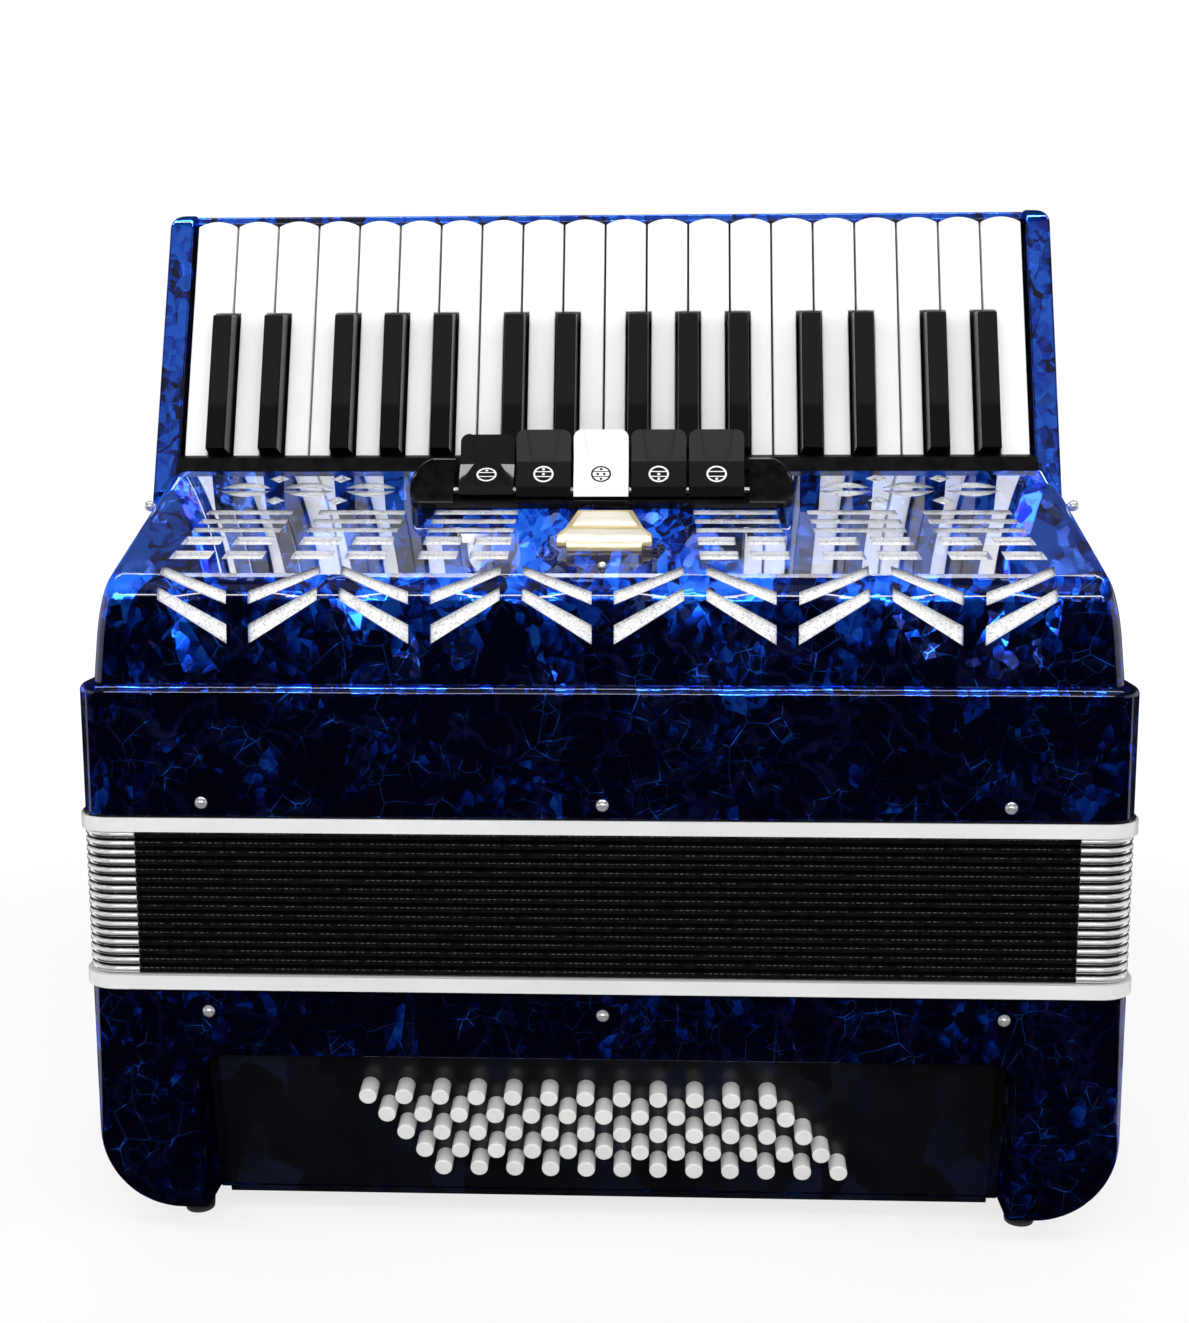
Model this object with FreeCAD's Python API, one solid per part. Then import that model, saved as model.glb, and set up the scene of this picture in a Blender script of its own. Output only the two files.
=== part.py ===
import FreeCAD, Part
import math
import os

# Piano accordion with 34 keys and 60 bass buttons, standing on its bass feet.
# X runs along the body, -Y is the front with the grille, +Z is up through the closed bellows.
# The origin is the middle of the plane that the four feet stand on. Lengths are in millimetres.

os.makedirs("parts", exist_ok=True)
V = FreeCAD.Vector

# Cutting and fitting allowances
overrun = 6.0
slide_gap = 0.2
soft_gap = 0.3
pivot_gap = 0.05

# Keyboard sizes that set the length of the body
white_count = 20
key_pitch = 18.5
cheek_gap = 1.6
cheek_thickness = 10.6
body_margin = 20.1
cheek_inner = white_count * key_pitch / 2 + cheek_gap
cheek_outer = cheek_inner + cheek_thickness
half_length = cheek_outer + body_margin
body_length = 2 * half_length

# Main body
body_depth = 190.0
plan_corner_radius = 14.0
foot_height = 10.0
bass_case_height = 102.3
bellows_frame_height = 5.9
fold_count = 16
fold_pitch = 3.84
treble_case_height = 54.8
half_depth = body_depth / 2
bass_bottom = foot_height
bass_top = bass_bottom + bass_case_height
bellows_bottom = bass_top + bellows_frame_height
bellows_top = bellows_bottom + fold_count * fold_pitch
treble_bottom = bellows_top + bellows_frame_height
treble_top = treble_bottom + treble_case_height

# Bass case and its recess for the buttons
bass_wall = 5.0
bass_end_radius = 36.0
cheek_wall = 4.0
recess_setback = 46.8
recess_half_width = half_length - recess_setback
recess_height = 72.8
recess_corner_radius = 10.0
recess_edge_radius = 1.6
recess_ceiling = 4.0
bass_pan_thickness = 4.0
bass_pan_drop = 5.3
pan_hole_count = 12
pan_hole_length = 16.0
pan_hole_width = 9.0
pan_hole_offset = 40.0

# Button board and buttons
board_side_gap = 5.2
board_half_width = recess_half_width - board_side_gap
board_thickness = 3.0
board_tilt = 12.0
board_foot_depth = 27.0
board_length = 75.6
flange_thickness = 2.0
button_radius = 3.75
button_shown = 9.0
button_inside = 9.0
button_gap = 0.15
button_edge = 0.7
button_columns = 12
button_rows = 5
bass_note_rows = 2
button_pitch = 15.4
row_pitch = 8.9
first_row_rise = 56.0
button_travel = 5.0

# Palm plate, hand strap and air button under the bass case
palm_plate_thickness = 3.0
palm_plate_recess = 10.0
palm_flange_depth = 3.0
palm_flange_drop = 10.0
sound_slot_columns = 5
sound_slot_rows = 3
sound_slot_length = 34.0
sound_slot_width = 4.0
sound_slot_pitch_x = 56.0
sound_slot_pitch_y = 13.0
sound_slot_depth = 37.0
slot_end_share = 0.45
strap_width = 68.0
strap_thickness = 3.0
strap_end_drop = 4.0
strap_sag = 10.0
strap_setback = 6.0
air_button_radius = 6.0
air_button_length = 18.0
air_button_shown = 8.0
air_button_flange = 2.0
air_flange_thickness = 2.0
air_button_setback = 22.5
air_button_depth = 47.0
air_button_x = recess_half_width - air_button_setback
air_button_y = half_depth - air_button_depth
air_travel = 4.0

# Feet and case screws
foot_radius = 7.3
foot_toe_radius = 6.3
foot_seat = 6.0
foot_edge = 1.0
foot_side_gap = 10.0
foot_depth = 30.7
foot_x = recess_half_width + foot_side_gap
foot_y = half_depth - foot_depth
pin_head_radius = 2.6
pin_head_height = 1.7
pin_shaft_radius = 1.2
pin_setback = 52.3
pin_x = half_length - pin_setback
pin_rise = 6.2
pin_drop = 9.9

# Bellows
frame_proud = 1.8
frame_ring_width = 19.0
fold_peak_inset = 0.3
fold_valley_inset = 6.0
fold_edge_height = 2.4
guard_thickness = 0.5
guard_length = 23.8
guard_height = 2.9

# Reed blocks in the bellows
reed_block_setback = 49.3
reed_block_half_length = half_length - reed_block_setback
reed_block_thickness = 18.0
treble_reed_block_height = 46.0
bass_reed_block_height = 42.0
reed_block_pitch = 44.0
reed_slot_count = 17
reed_slot_width = 12.0
reed_slot_height = 30.0
reed_slot_depth = 3.0

# Treble case with its slanted ends and hollow back
treble_wall = 5.0
treble_edge_radius = 3.5
hood_wall = 4.0
hood_setback = 6.0
hood_base_half = half_length - hood_setback
hood_low_lean = 0.085
hood_high_lean = 0.36
hood_knee_rise = 31.7
hood_knee_radius = 100.0
hood_reach = 130.0
hood_bow = 15.0
treble_pan_thickness = 4.0
valve_hole_length = 12.0
valve_hole_width = 5.0

# Grille over the valves
grille_wall = 2.5
grille_front_setback = 6.5
grille_front_lean = 0.072
grille_shoulder_radius = 15.0
grille_end_radius = 7.0
grille_top_depth = 64.0
grille_top_rise = 84.4
slope_angle = 38.74

# Bars cut in the slope, in fans about a far centre
fan_reach = 410.0
bar_first = 26.5
bar_starts = [0.0, 5.6, 11.0]
bar_height = 2.8
bar_group_shares = [(0.0851, 0.1655), (0.1942, 0.2793), (0.3046, 0.3885)]
short_bar_first = 44.0
short_bar_pitch = 8.6
short_bar_height = 5.0
short_bar_gap = 5.2

# Chevron slots over the shoulder and down the front
chevron_count = 10
chevron_pitch = 37.4
chevron_width = 28.4
lower_chevron_rise = 39.5
lower_chevron_fall = 15.2
lower_chevron_thin = 5.2
lower_chevron_thick = 7.9
upper_chevron_rise = 47.6
upper_chevron_fall = 9.8
upper_chevron_thin = 3.3
upper_chevron_thick = 5.3

# Plain ornament cut near the top of the slope
ornament_x = 128.5
ornament_setback = 12.0
lens_length = 24.0
lens_height = 9.0
lens_rib = 1.6
lens_pitch = 27.0
lozenge_length = 9.0
lozenge_height = 5.0
lozenge_setback = 5.0

# Keyboard plane, as distances from the front, the floor of the treble hood and the middle
keyboard_shift = -2.0
key_base_depth = 71.2
key_base_rise = 90.3
keyboard_lean = 19.94
key_gap = 0.9
key_thickness = 12.0
key_visible_length = 109.2
key_tip_bow = 2.6
key_tail = 22.0
key_edge_radius = 0.7
black_length = 62.5
black_bevel = 4.0
black_height = 10.0
black_foot_width = 9.5
black_top_width = 8.3
black_edge_radius = 0.8
black_pair_shift = 2.2
black_trio_shift = 3.4
black_tail_start = 1.0
axle_radius = 1.5
axle_setback = 14.0
axle_drop = 9.0
key_dip = 2.7

# Levers and valve pads behind the keys
lever_width = 3.0
lever_thickness = 4.5
lever_reach = 47.0
lever_lap = 1.5
pad_width = 7.4
pad_length = 18.0
pad_height = 6.5
pad_gap = 0.2

# Keyboard bed and cheeks
bed_drop = 20.0
bed_thickness = 9.5
end_rail_gap = 0.7
bed_edge_radius = 3.0
end_rail_drop = 6.0
end_rail_thickness = 4.7
bed_length = key_visible_length + key_tip_bow + end_rail_gap + end_rail_thickness
end_rail_radius = 1.5
cheek_rise = 1.5
cheek_corner_radius = 9.0
cheek_nose_radius = 9.0
cheek_edge_radius = 1.2
cheek_root = 28.0
hood_lap = 6.0

# Rail between the grille and the keys
rail_front_rise = 0.5
rail_height = 5.9
rail_back_gap = 1.0
rail_sink = 3.1
rail_nose = 2.5
rail_tail = 9.0

# Register plate and its five switches
register_count = 5
register_pitch = 24.4
register_width = 23.2
plate_half_front = 82.0
plate_half_back = 80.0
plate_length = 24.4
plate_back_setback = 0.5
plate_thickness = 1.2
plate_lip_height = 3.2
plate_lip_width = 1.8
plate_corner_radius = 6.0
plate_shoulder_radius = 15.0
block_start = 62.6
block_front_height = 3.4
block_back_height = 10.0
block_bulge_share = 0.8
block_back_share = 0.7
block_edge_radius = 1.5
switch_pivot_run = 17.5
switch_pivot_rise = 4.5
switch_axle_radius = 1.2
switch_hub_front = 2.5
switch_foot_drop = 2.6
switch_face_rise = 1.6
switch_face_run = 10.4
switch_face_back = 2.2
switch_length = 25.5
switch_top_lean = 4.3
switch_top_thickness = 2.2
switch_foot_thickness = 6.0
switch_corner_radius = 3.5
switch_bevel_depth = 1.2
ridge_half_knee = 5.8
ridge_half_tip = 8.6
scoop_depth = 1.0
scoop_rim = 0.5
scoop_corner_radius = 2.0
switch_throw = 18.0
pressed_switch = 1

# Metal fittings on the treble side
stud_radius = 2.35
stud_stem_radius = 1.2
stud_seat = 0.1
stud_setback = 55.0
stud_rise = 69.8
bracket_setbacks = [32.5, 64.5]
bracket_wire_radius = 1.2
bracket_width = 22.0
bracket_reach = 6.0
bracket_rise = 34.0
bracket_plate_width = 30.0
bracket_plate_height = 12.0
bracket_plate_thickness = 1.2


def save(node, shapes):
    """Write the separate solids of one named piece."""
    solids = []
    for shape in shapes:
        solids.extend(shape.Solids)
    shape = solids[0] if len(solids) == 1 else Part.makeCompound(solids)
    shape.exportStep("parts/" + node + ".step")
    print(node, len(solids), round(shape.Volume), shape.isValid())


def block(x0, x1, y0, y1, z0, z1):
    """Box between two corners."""
    return Part.makeBox(x1 - x0, y1 - y0, z1 - z0, V(x0, y0, z0))


def rod_x(radius, x0, x1, y, z):
    """Round rod along X."""
    return Part.makeCylinder(radius, x1 - x0, V(x0, y, z), V(1, 0, 0))


def outline(points, radii=None):
    """Closed wire through the points, with a round corner where a radius is given."""
    count = len(points)
    radii = radii or [0.0] * count
    starts = []
    ends = []
    arcs = []
    for i in range(count):
        here = points[i]
        back = points[i - 1] - here
        ahead = points[(i + 1) % count] - here
        back.normalize()
        ahead.normalize()
        if radii[i] <= 0:
            starts.append(here)
            ends.append(here)
            arcs.append(None)
            continue
        half = back.getAngle(ahead) / 2
        run = radii[i] / math.tan(half)
        bisector = back + ahead
        bisector.normalize()
        centre = here + bisector * (radii[i] / math.sin(half))
        start = here + back * run
        end = here + ahead * run
        starts.append(start)
        ends.append(end)
        arcs.append(Part.Arc(start, centre - bisector * radii[i], end).toShape())
    edges = []
    for i in range(count):
        if arcs[i]:
            edges.append(arcs[i])
        after = starts[(i + 1) % count]
        if ends[i].distanceToPoint(after) > 0:
            edges.append(Part.makeLine(ends[i], after))
    return Part.Wire(edges)


def prism_x(points, x0, x1, radii=None):
    """Outline of (y, z) points drawn out along X."""
    wire = outline([V(x0, y, z) for y, z in points], radii)
    return Part.Face(wire).extrude(V(x1 - x0, 0, 0))


def prism_y(points, y0, y1, radii=None):
    """Outline of (x, z) points drawn out along Y."""
    wire = outline([V(x, y0, z) for x, z in points], radii)
    return Part.Face(wire).extrude(V(0, y1 - y0, 0))


def prism_z(points, z0, z1, radii=None):
    """Outline of (x, y) points drawn out along Z."""
    wire = outline([V(x, y, z0) for x, y in points], radii)
    return Part.Face(wire).extrude(V(0, 0, z1 - z0))


def rounded_rectangle(half_x, half_y, radius, z):
    """Wire of a rectangle with round corners at one height."""
    points = [V(half_x, half_y, z), V(-half_x, half_y, z), V(-half_x, -half_y, z), V(half_x, -half_y, z)]
    return outline(points, [radius] * len(points))


def rounded_prism(half_x, half_y, radius, z0, z1):
    """Upright prism with round vertical edges."""
    return Part.Face(rounded_rectangle(half_x, half_y, radius, z0)).extrude(V(0, 0, z1 - z0))


def mirrored_x(shape):
    """Copy mirrored to the other side of the middle."""
    return shape.mirror(V(0, 0, 0), V(1, 0, 0))


def mirrored_y(shape):
    """Copy mirrored from front to back."""
    return shape.mirror(V(0, 0, 0), V(0, 1, 0))


def edges_at(shape, test):
    """Edges whose middle point passes a test."""
    return [e for e in shape.Edges if test(e.BoundBox.Center, e)]


# The slope of the grille has its own directions: t climbs it and h stands off it.
slope_top = V(0, grille_top_depth - half_depth, treble_top + grille_top_rise)


def on_slope(shape):
    """Place a shape that was drawn flat, with its Y along t and its Z along h."""
    placed = shape.copy()
    placed.rotate(V(0, 0, 0), V(1, 0, 0), slope_angle)
    placed.translate(slope_top)
    return placed


def slope_point(t, h):
    """The (y, z) of a place on the slope."""
    a = math.radians(slope_angle)
    y = slope_top.y + t * math.cos(a) - h * math.sin(a)
    z = slope_top.z + t * math.sin(a) + h * math.cos(a)
    return (y, z)


# The keyboard has its own directions too: u runs to the key tips and w stands off the key tops.
key_base = V(keyboard_shift, key_base_depth - half_depth, treble_top + key_base_rise)


def on_keyboard(shape):
    """Place a shape that was drawn flat, with its Y along u and its Z along w."""
    placed = shape.copy()
    placed.rotate(V(0, 0, 0), V(1, 0, 0), 90 - keyboard_lean)
    placed.translate(key_base)
    return placed


def key_point(u, w):
    """The (y, z) of a place on the keyboard."""
    a = math.radians(keyboard_lean)
    y = key_base.y + u * math.sin(a) - w * math.cos(a)
    z = key_base.z + u * math.cos(a) + w * math.sin(a)
    return (y, z)


def key_plane_at(w, z):
    """The u of the plane w at a height."""
    a = math.radians(keyboard_lean)
    return (z - key_base.z - w * math.sin(a)) / math.cos(a)


def hood_half(z, inset=0.0):
    """Half the length between the slanted ends at a height, before their knees are rounded."""
    rise = z - treble_top
    above_knee = max(rise - hood_knee_rise, 0.0)
    return hood_base_half - inset - hood_low_lean * rise - (hood_high_lean - hood_low_lean) * above_knee


def between_ends(shape, inset=0.0):
    """Trim a long prism to the slanted ends of the treble hood."""
    low = treble_top - overrun
    knee = treble_top + hood_knee_rise
    high = treble_top + hood_reach
    heights = [low, knee, high]
    right = [(hood_half(z, inset), z) for z in heights]
    left = [(-hood_half(z, inset), z) for z in reversed(heights)]
    radius = hood_knee_radius - inset
    ends = prism_y(right + left, -body_depth, body_depth, [0.0, radius, 0.0, 0.0, radius, 0.0])
    return shape.common(ends)


def pin_places(z):
    """Places of the case screws on the front and the back."""
    return [(x, side, z) for x in (-pin_x, 0.0, pin_x) for side in (-1, 1)]


def pin(x, side, z):
    """Screw with a domed head on one face of the case."""
    out = V(0, side, 0)
    face = V(x, side * half_depth, z)
    bulge = (pin_head_radius ** 2 + pin_head_height ** 2) / (2 * pin_head_height)
    ball = Part.makeSphere(bulge, face + out * (pin_head_height - bulge))
    head = ball.common(Part.makeCylinder(pin_head_radius, pin_head_height, face, out))
    shaft = Part.makeCylinder(pin_shaft_radius, bass_wall, face, out * -1)
    return head.fuse(shaft).removeSplitter()


def pin_hole(x, side, z):
    """Clearance hole for a screw."""
    start = V(x, side * (half_depth + overrun), z)
    return Part.makeCylinder(pin_shaft_radius + pivot_gap, bass_wall + 2 * overrun, start, V(0, -side, 0))


# Bass case: rounded trough with a recess in front and an opening below


def trough(inset):
    """Body of the bass case, with round lower ends and soft front and back edges."""
    half = half_length - inset
    low = bass_bottom + inset
    high = bass_top + (overrun if inset else 0.0)
    radius = bass_end_radius - inset
    points = [(-half, high), (-half, low), (half, low), (half, high)]
    body = prism_y(points, inset - half_depth, half_depth - inset, [0.0, radius, radius, 0.0])
    face_y = half_depth - inset
    rim = edges_at(body, lambda c, e: abs(abs(c.y) - face_y) < pivot_gap and c.z < high - pivot_gap)
    return body.makeFillet(plan_corner_radius - inset, rim)


recess_top = bass_bottom + recess_height
palm_plate_bottom = bass_bottom + palm_plate_recess
board_angle = math.radians(board_tilt)
board_foot = V(0, board_foot_depth - half_depth, bass_bottom)


def on_board(shape):
    """Place a shape that was drawn with its Z up the board and its -Y out of it."""
    placed = shape.copy()
    placed.rotate(V(0, 0, 0), V(1, 0, 0), board_tilt)
    placed.translate(board_foot)
    return placed


def bass_case():
    outer = trough(0.0)
    case = outer.cut(trough(bass_wall))
    wall_top = recess_top + recess_ceiling
    half = recess_half_width + cheek_wall
    side = block(recess_half_width, half, -half_depth, half_depth, bass_bottom, wall_top)
    board_back = board_foot.y - (wall_top - board_foot.z) * math.tan(board_angle)
    ceiling = block(-half, half, -half_depth, board_back - slide_gap, recess_top, wall_top)
    pan_top = bass_top - bass_pan_drop
    pan = block(-half_length, half_length, -half_depth, half_depth, pan_top - bass_pan_thickness, pan_top)
    holes = []
    for i in range(pan_hole_count):
        x = (i - (pan_hole_count - 1) / 2) * 2 * recess_half_width / pan_hole_count
        for y in (-pan_hole_offset, pan_hole_offset):
            x0 = x - pan_hole_width / 2
            y0 = y - pan_hole_length / 2
            low = pan_top - bass_pan_thickness - overrun
            holes.append(block(x0, x0 + pan_hole_width, y0, y0 + pan_hole_length, low, pan_top + overrun))
    inside = side.fuse([mirrored_x(side), ceiling, pan.cut(holes)]).common(outer)
    case = case.fuse(inside)
    points = [
        (-recess_half_width, bass_bottom - overrun),
        (recess_half_width, bass_bottom - overrun),
        (recess_half_width, recess_top),
        (-recess_half_width, recess_top),
    ]
    corners = [0.0, 0.0, recess_corner_radius, recess_corner_radius]
    mouth = prism_y(points, -half_depth - overrun, bass_wall - half_depth, corners)
    below = block(-recess_half_width, recess_half_width, -half_depth - overrun, half_depth - bass_wall,
                  bass_bottom - overrun, palm_plate_bottom + palm_plate_thickness + slide_gap)
    bores = [pin_hole(*place) for place in pin_places(bass_top - pin_drop)]
    case = case.cut([mouth, below]).removeSplitter()

    def is_mouth_edge(c, e):
        inside = c.z < recess_top + pivot_gap and abs(c.x) < recess_half_width + pivot_gap
        return inside and e.BoundBox.YMax < pivot_gap - half_depth and e.BoundBox.ZMax > bass_bottom + pivot_gap

    case = case.makeFillet(recess_edge_radius, edges_at(case, is_mouth_edge))
    return case.cut(bores)


def button_places(row):
    """Places along the board of the buttons in one row."""
    shift = (row - (button_rows - 1) / 2) / 2
    return [(i - (button_columns - 1) / 2 + shift) * button_pitch for i in range(button_columns)]


def button_rise(row):
    return first_row_rise - row * row_pitch


def button(x, rise, grow=0.0):
    """One bass button, or the hole for it when grown, drawn on an upright board."""
    length = button_shown + board_thickness + flange_thickness + button_inside
    body = Part.makeCylinder(button_radius + grow, length, V(x, -button_shown, rise), V(0, 1, 0))
    if grow:
        return body
    tip = edges_at(body, lambda c, e: abs(c.y + button_shown) < pivot_gap)
    return body.makeFillet(button_edge, tip)


def bass_button_board():
    plate = block(-board_half_width, board_half_width, 0, board_thickness, 0, board_length)
    flange_half = recess_half_width - slide_gap
    flange = block(-flange_half, flange_half, board_thickness, board_thickness + flange_thickness,
                   0, board_length)
    holes = []
    for row in range(button_rows):
        holes += [button(x, button_rise(row), button_gap) for x in button_places(row)]
    return on_board(plate.fuse(flange).cut(holes).removeSplitter())


def button_group(rows):
    """Solids of the buttons in some rows."""
    return [on_board(button(x, button_rise(row))) for row in rows for x in button_places(row)]


def palm_plate():
    """Inset cover under the case, with sound slots and a hole for the air button."""
    half = recess_half_width - slide_gap
    board_depth = (board_thickness + flange_thickness) / math.cos(board_angle)
    front = board_foot.y + board_depth + slide_gap
    back = half_depth - bass_wall - slide_gap
    bottom = palm_plate_bottom
    top = bottom + palm_plate_thickness
    points = [
        (front, bottom - palm_flange_drop),
        (front + palm_flange_depth, bottom - palm_flange_drop),
        (front + palm_flange_depth, bottom),
        (back, bottom),
        (back, top),
        (front, top),
    ]
    plate = prism_x(points, -half, half)
    cuts = [Part.makeCylinder(air_button_radius + slide_gap, palm_plate_thickness + 2 * overrun,
                              V(-air_button_x, -air_button_y, bottom - overrun))]
    for i in range(sound_slot_columns):
        for j in range(sound_slot_rows):
            x = (i - (sound_slot_columns - 1) / 2) * sound_slot_pitch_x
            y = half_depth - sound_slot_depth + (j - (sound_slot_rows - 1) / 2) * sound_slot_pitch_y
            x0 = x - sound_slot_length / 2
            y0 = y - sound_slot_width / 2
            points = [(x0, y0), (x0 + sound_slot_length, y0),
                      (x0 + sound_slot_length, y0 + sound_slot_width), (x0, y0 + sound_slot_width)]
            round_end = sound_slot_width * slot_end_share
            cuts.append(prism_z(points, bottom - overrun, top + overrun, [round_end] * len(points)))
    return plate.cut(cuts)


def air_button():
    """Stepped push button that hangs through the palm plate."""
    start = palm_plate_bottom - air_button_shown
    base = V(-air_button_x, -air_button_y, start)
    body = Part.makeCylinder(air_button_radius, air_button_length, base)
    tip = edges_at(body, lambda c, e: abs(c.z - start) < pivot_gap)
    body = body.makeFillet(button_edge, tip)
    collar_z = palm_plate_bottom + palm_plate_thickness + slide_gap
    collar = Part.makeCylinder(air_button_radius + air_button_flange, air_flange_thickness,
                               V(-air_button_x, -air_button_y, collar_z))
    return body.fuse(collar).removeSplitter()


def bass_strap():
    """Hand strap that hangs between the cheeks under the palm plate."""
    half = recess_half_width - soft_gap
    end_z = palm_plate_bottom - strap_end_drop
    low_z = end_z - strap_sag
    y0 = strap_setback - strap_width / 2
    under = Part.Arc(V(-half, y0, end_z - strap_thickness), V(0, y0, low_z - strap_thickness),
                     V(half, y0, end_z - strap_thickness)).toShape()
    over = Part.Arc(V(half, y0, end_z), V(0, y0, low_z), V(-half, y0, end_z)).toShape()
    right = Part.makeLine(V(half, y0, end_z - strap_thickness), V(half, y0, end_z))
    left = Part.makeLine(V(-half, y0, end_z), V(-half, y0, end_z - strap_thickness))
    return Part.Face(Part.Wire([under, right, over, left])).extrude(V(0, strap_width, 0))


def rubber_feet():
    outer = trough(0.0)
    feet = []
    for x in (-foot_x, foot_x):
        for y in (-foot_y, foot_y):
            foot = Part.makeCone(foot_toe_radius, foot_radius, foot_height + foot_seat, V(x, y, 0))
            toe = edges_at(foot, lambda c, e: abs(c.z) < pivot_gap)
            feet.append(foot.makeFillet(foot_edge, toe).cut(outer))
    return feet


# Bellows between two white frames


def bellows_frame(z):
    half_x = half_length + frame_proud
    half_y = half_depth + frame_proud
    radius = plan_corner_radius + frame_proud
    top = z + bellows_frame_height
    ring = rounded_prism(half_x, half_y, radius, z, top)
    hole = rounded_prism(half_x - frame_ring_width, half_y - frame_ring_width, plan_corner_radius,
                         z - overrun, top + overrun)
    return ring.cut(hole)


def fold_wire(inset, z):
    """Outline of the bellows at one height."""
    return rounded_rectangle(half_length - inset, half_depth - inset, plan_corner_radius - inset, z)


def bellows_folds():
    """Stack of pleats with flat taped edges, hollow inside."""
    slant = (fold_pitch - fold_edge_height) / 2
    wires = [fold_wire(fold_valley_inset, bellows_bottom)]
    for i in range(fold_count):
        z = bellows_bottom + i * fold_pitch
        wires.append(fold_wire(fold_peak_inset, z + slant))
        wires.append(fold_wire(fold_peak_inset, z + slant + fold_edge_height))
        wires.append(fold_wire(fold_valley_inset, z + fold_pitch))
    stack = Part.makeLoft(wires, True, True)
    wall = frame_ring_width - frame_proud
    hole = rounded_prism(half_length - wall, half_depth - wall, plan_corner_radius,
                         bellows_bottom - overrun, bellows_top + overrun)
    return stack.cut(hole)


def bellows_corners():
    """Metal guards folded round the four corners of each pleat."""
    inner = fold_peak_inset - slide_gap / 2
    outer = inner - guard_thickness
    low = bellows_bottom + (fold_pitch - guard_height) / 2
    ring = Part.Face(fold_wire(outer, low)).extrude(V(0, 0, guard_height))
    ring = ring.cut(Part.Face(fold_wire(inner, low - overrun)).extrude(V(0, 0, guard_height + 2 * overrun)))
    corner = block(half_length - guard_length, half_length + overrun,
                   half_depth - guard_length, half_depth + overrun,
                   low - overrun, low + guard_height + overrun)
    guard = ring.common(corner)
    four = [guard, mirrored_x(guard), mirrored_y(guard), mirrored_x(mirrored_y(guard))]
    guards = []
    for i in range(fold_count):
        for piece in four:
            copy = piece.copy()
            copy.translate(V(0, 0, i * fold_pitch))
            guards.append(copy)
    return guards


def reed_block(y, z0, height):
    """Wooden block with a row of reed chambers on each side."""
    half = reed_block_thickness / 2
    body = block(-reed_block_half_length, reed_block_half_length, y - half, y + half, z0, z0 + height)
    pitch = 2 * reed_block_half_length / reed_slot_count
    rim = (height - reed_slot_height) / 2
    low = z0 + rim
    high = z0 + height - rim
    cuts = []
    for i in range(reed_slot_count):
        x0 = -reed_block_half_length + (i + 0.5) * pitch - reed_slot_width / 2
        x1 = x0 + reed_slot_width
        cuts.append(block(x0, x1, y - half - overrun, y - half + reed_slot_depth, low, high))
        cuts.append(block(x0, x1, y + half - reed_slot_depth, y + half + overrun, low, high))
    return body.cut(cuts)


# Treble case, hood and grille


def hood(inset=0.0, grow=0.0):
    """Space behind the keyboard between its bed, the treble case and a bowed back."""
    back_plane = -bed_drop - bed_thickness - slide_gap
    top = key_point(-hood_lap, back_plane)
    foot = key_point(key_plane_at(back_plane, treble_top), back_plane)
    rear = (half_depth - treble_edge_radius, treble_top)
    chord_y = top[0] - rear[0]
    chord_z = top[1] - rear[1]
    chord = math.hypot(chord_y, chord_z)
    middle_y = (top[0] + rear[0]) / 2 - hood_bow * chord_z / chord
    middle_z = (top[1] + rear[1]) / 2 + hood_bow * chord_y / chord
    x0 = -half_length
    arc = Part.Arc(V(x0, *rear), V(x0, middle_y, middle_z), V(x0, *top)).toShape()
    front = Part.makeLine(V(x0, *top), V(x0, *foot))
    floor = Part.makeLine(V(x0, *foot), V(x0, *rear))
    face = Part.Face(Part.Wire([arc, front, floor]))
    if inset or grow:
        face = face.makeOffset2D(grow - inset)
    return between_ends(face.extrude(V(body_length, 0, 0)), inset - grow)


def key_layout():
    """List the keys from the left: name, kind, left and right edge of the tail, middle of the tail."""
    names = ["e", "d", "c", "b", "a", "g", "f"]
    octave = 6
    whites = []
    for i in range(white_count):
        name = names[i % len(names)]
        whites.append((name, octave))
        if name == "c":
            octave -= 1
    pair = black_pair_shift
    trio = black_trio_shift
    shifts = {"d": -pair, "c": pair, "a": -trio, "g": 0.0, "f": trio}
    left = -white_count * key_pitch / 2
    blacks = {}
    for i in range(1, white_count):
        name, octave = whites[i]
        if name in shifts:
            blacks[i] = (name + "s" + str(octave), left + i * key_pitch + shifts[name])
    keys = []
    for i, (name, octave) in enumerate(whites):
        x0 = left + i * key_pitch + key_gap / 2
        x1 = left + (i + 1) * key_pitch - key_gap / 2
        tail0 = blacks[i][1] + black_foot_width / 2 + key_gap if i in blacks else x0
        tail1 = blacks[i + 1][1] - black_foot_width / 2 - key_gap if i + 1 in blacks else x1
        keys.append((name + str(octave), "white", x0, x1, tail0, tail1))
        if i + 1 in blacks:
            name, middle = blacks[i + 1]
            half = black_foot_width / 2
            keys.append((name, "black", middle - half, middle + half, middle - half, middle + half))
    return keys


def lever_places():
    """Middle of each lever, in body coordinates."""
    return [keyboard_shift + (key[4] + key[5]) / 2 for key in key_layout()]


def axle_place():
    return key_point(-axle_setback, -axle_drop)


def pad_span():
    """Front and back edge of the valve pads."""
    middle = axle_place()[0] - lever_reach
    return (middle - pad_length / 2, middle + pad_length / 2)


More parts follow.
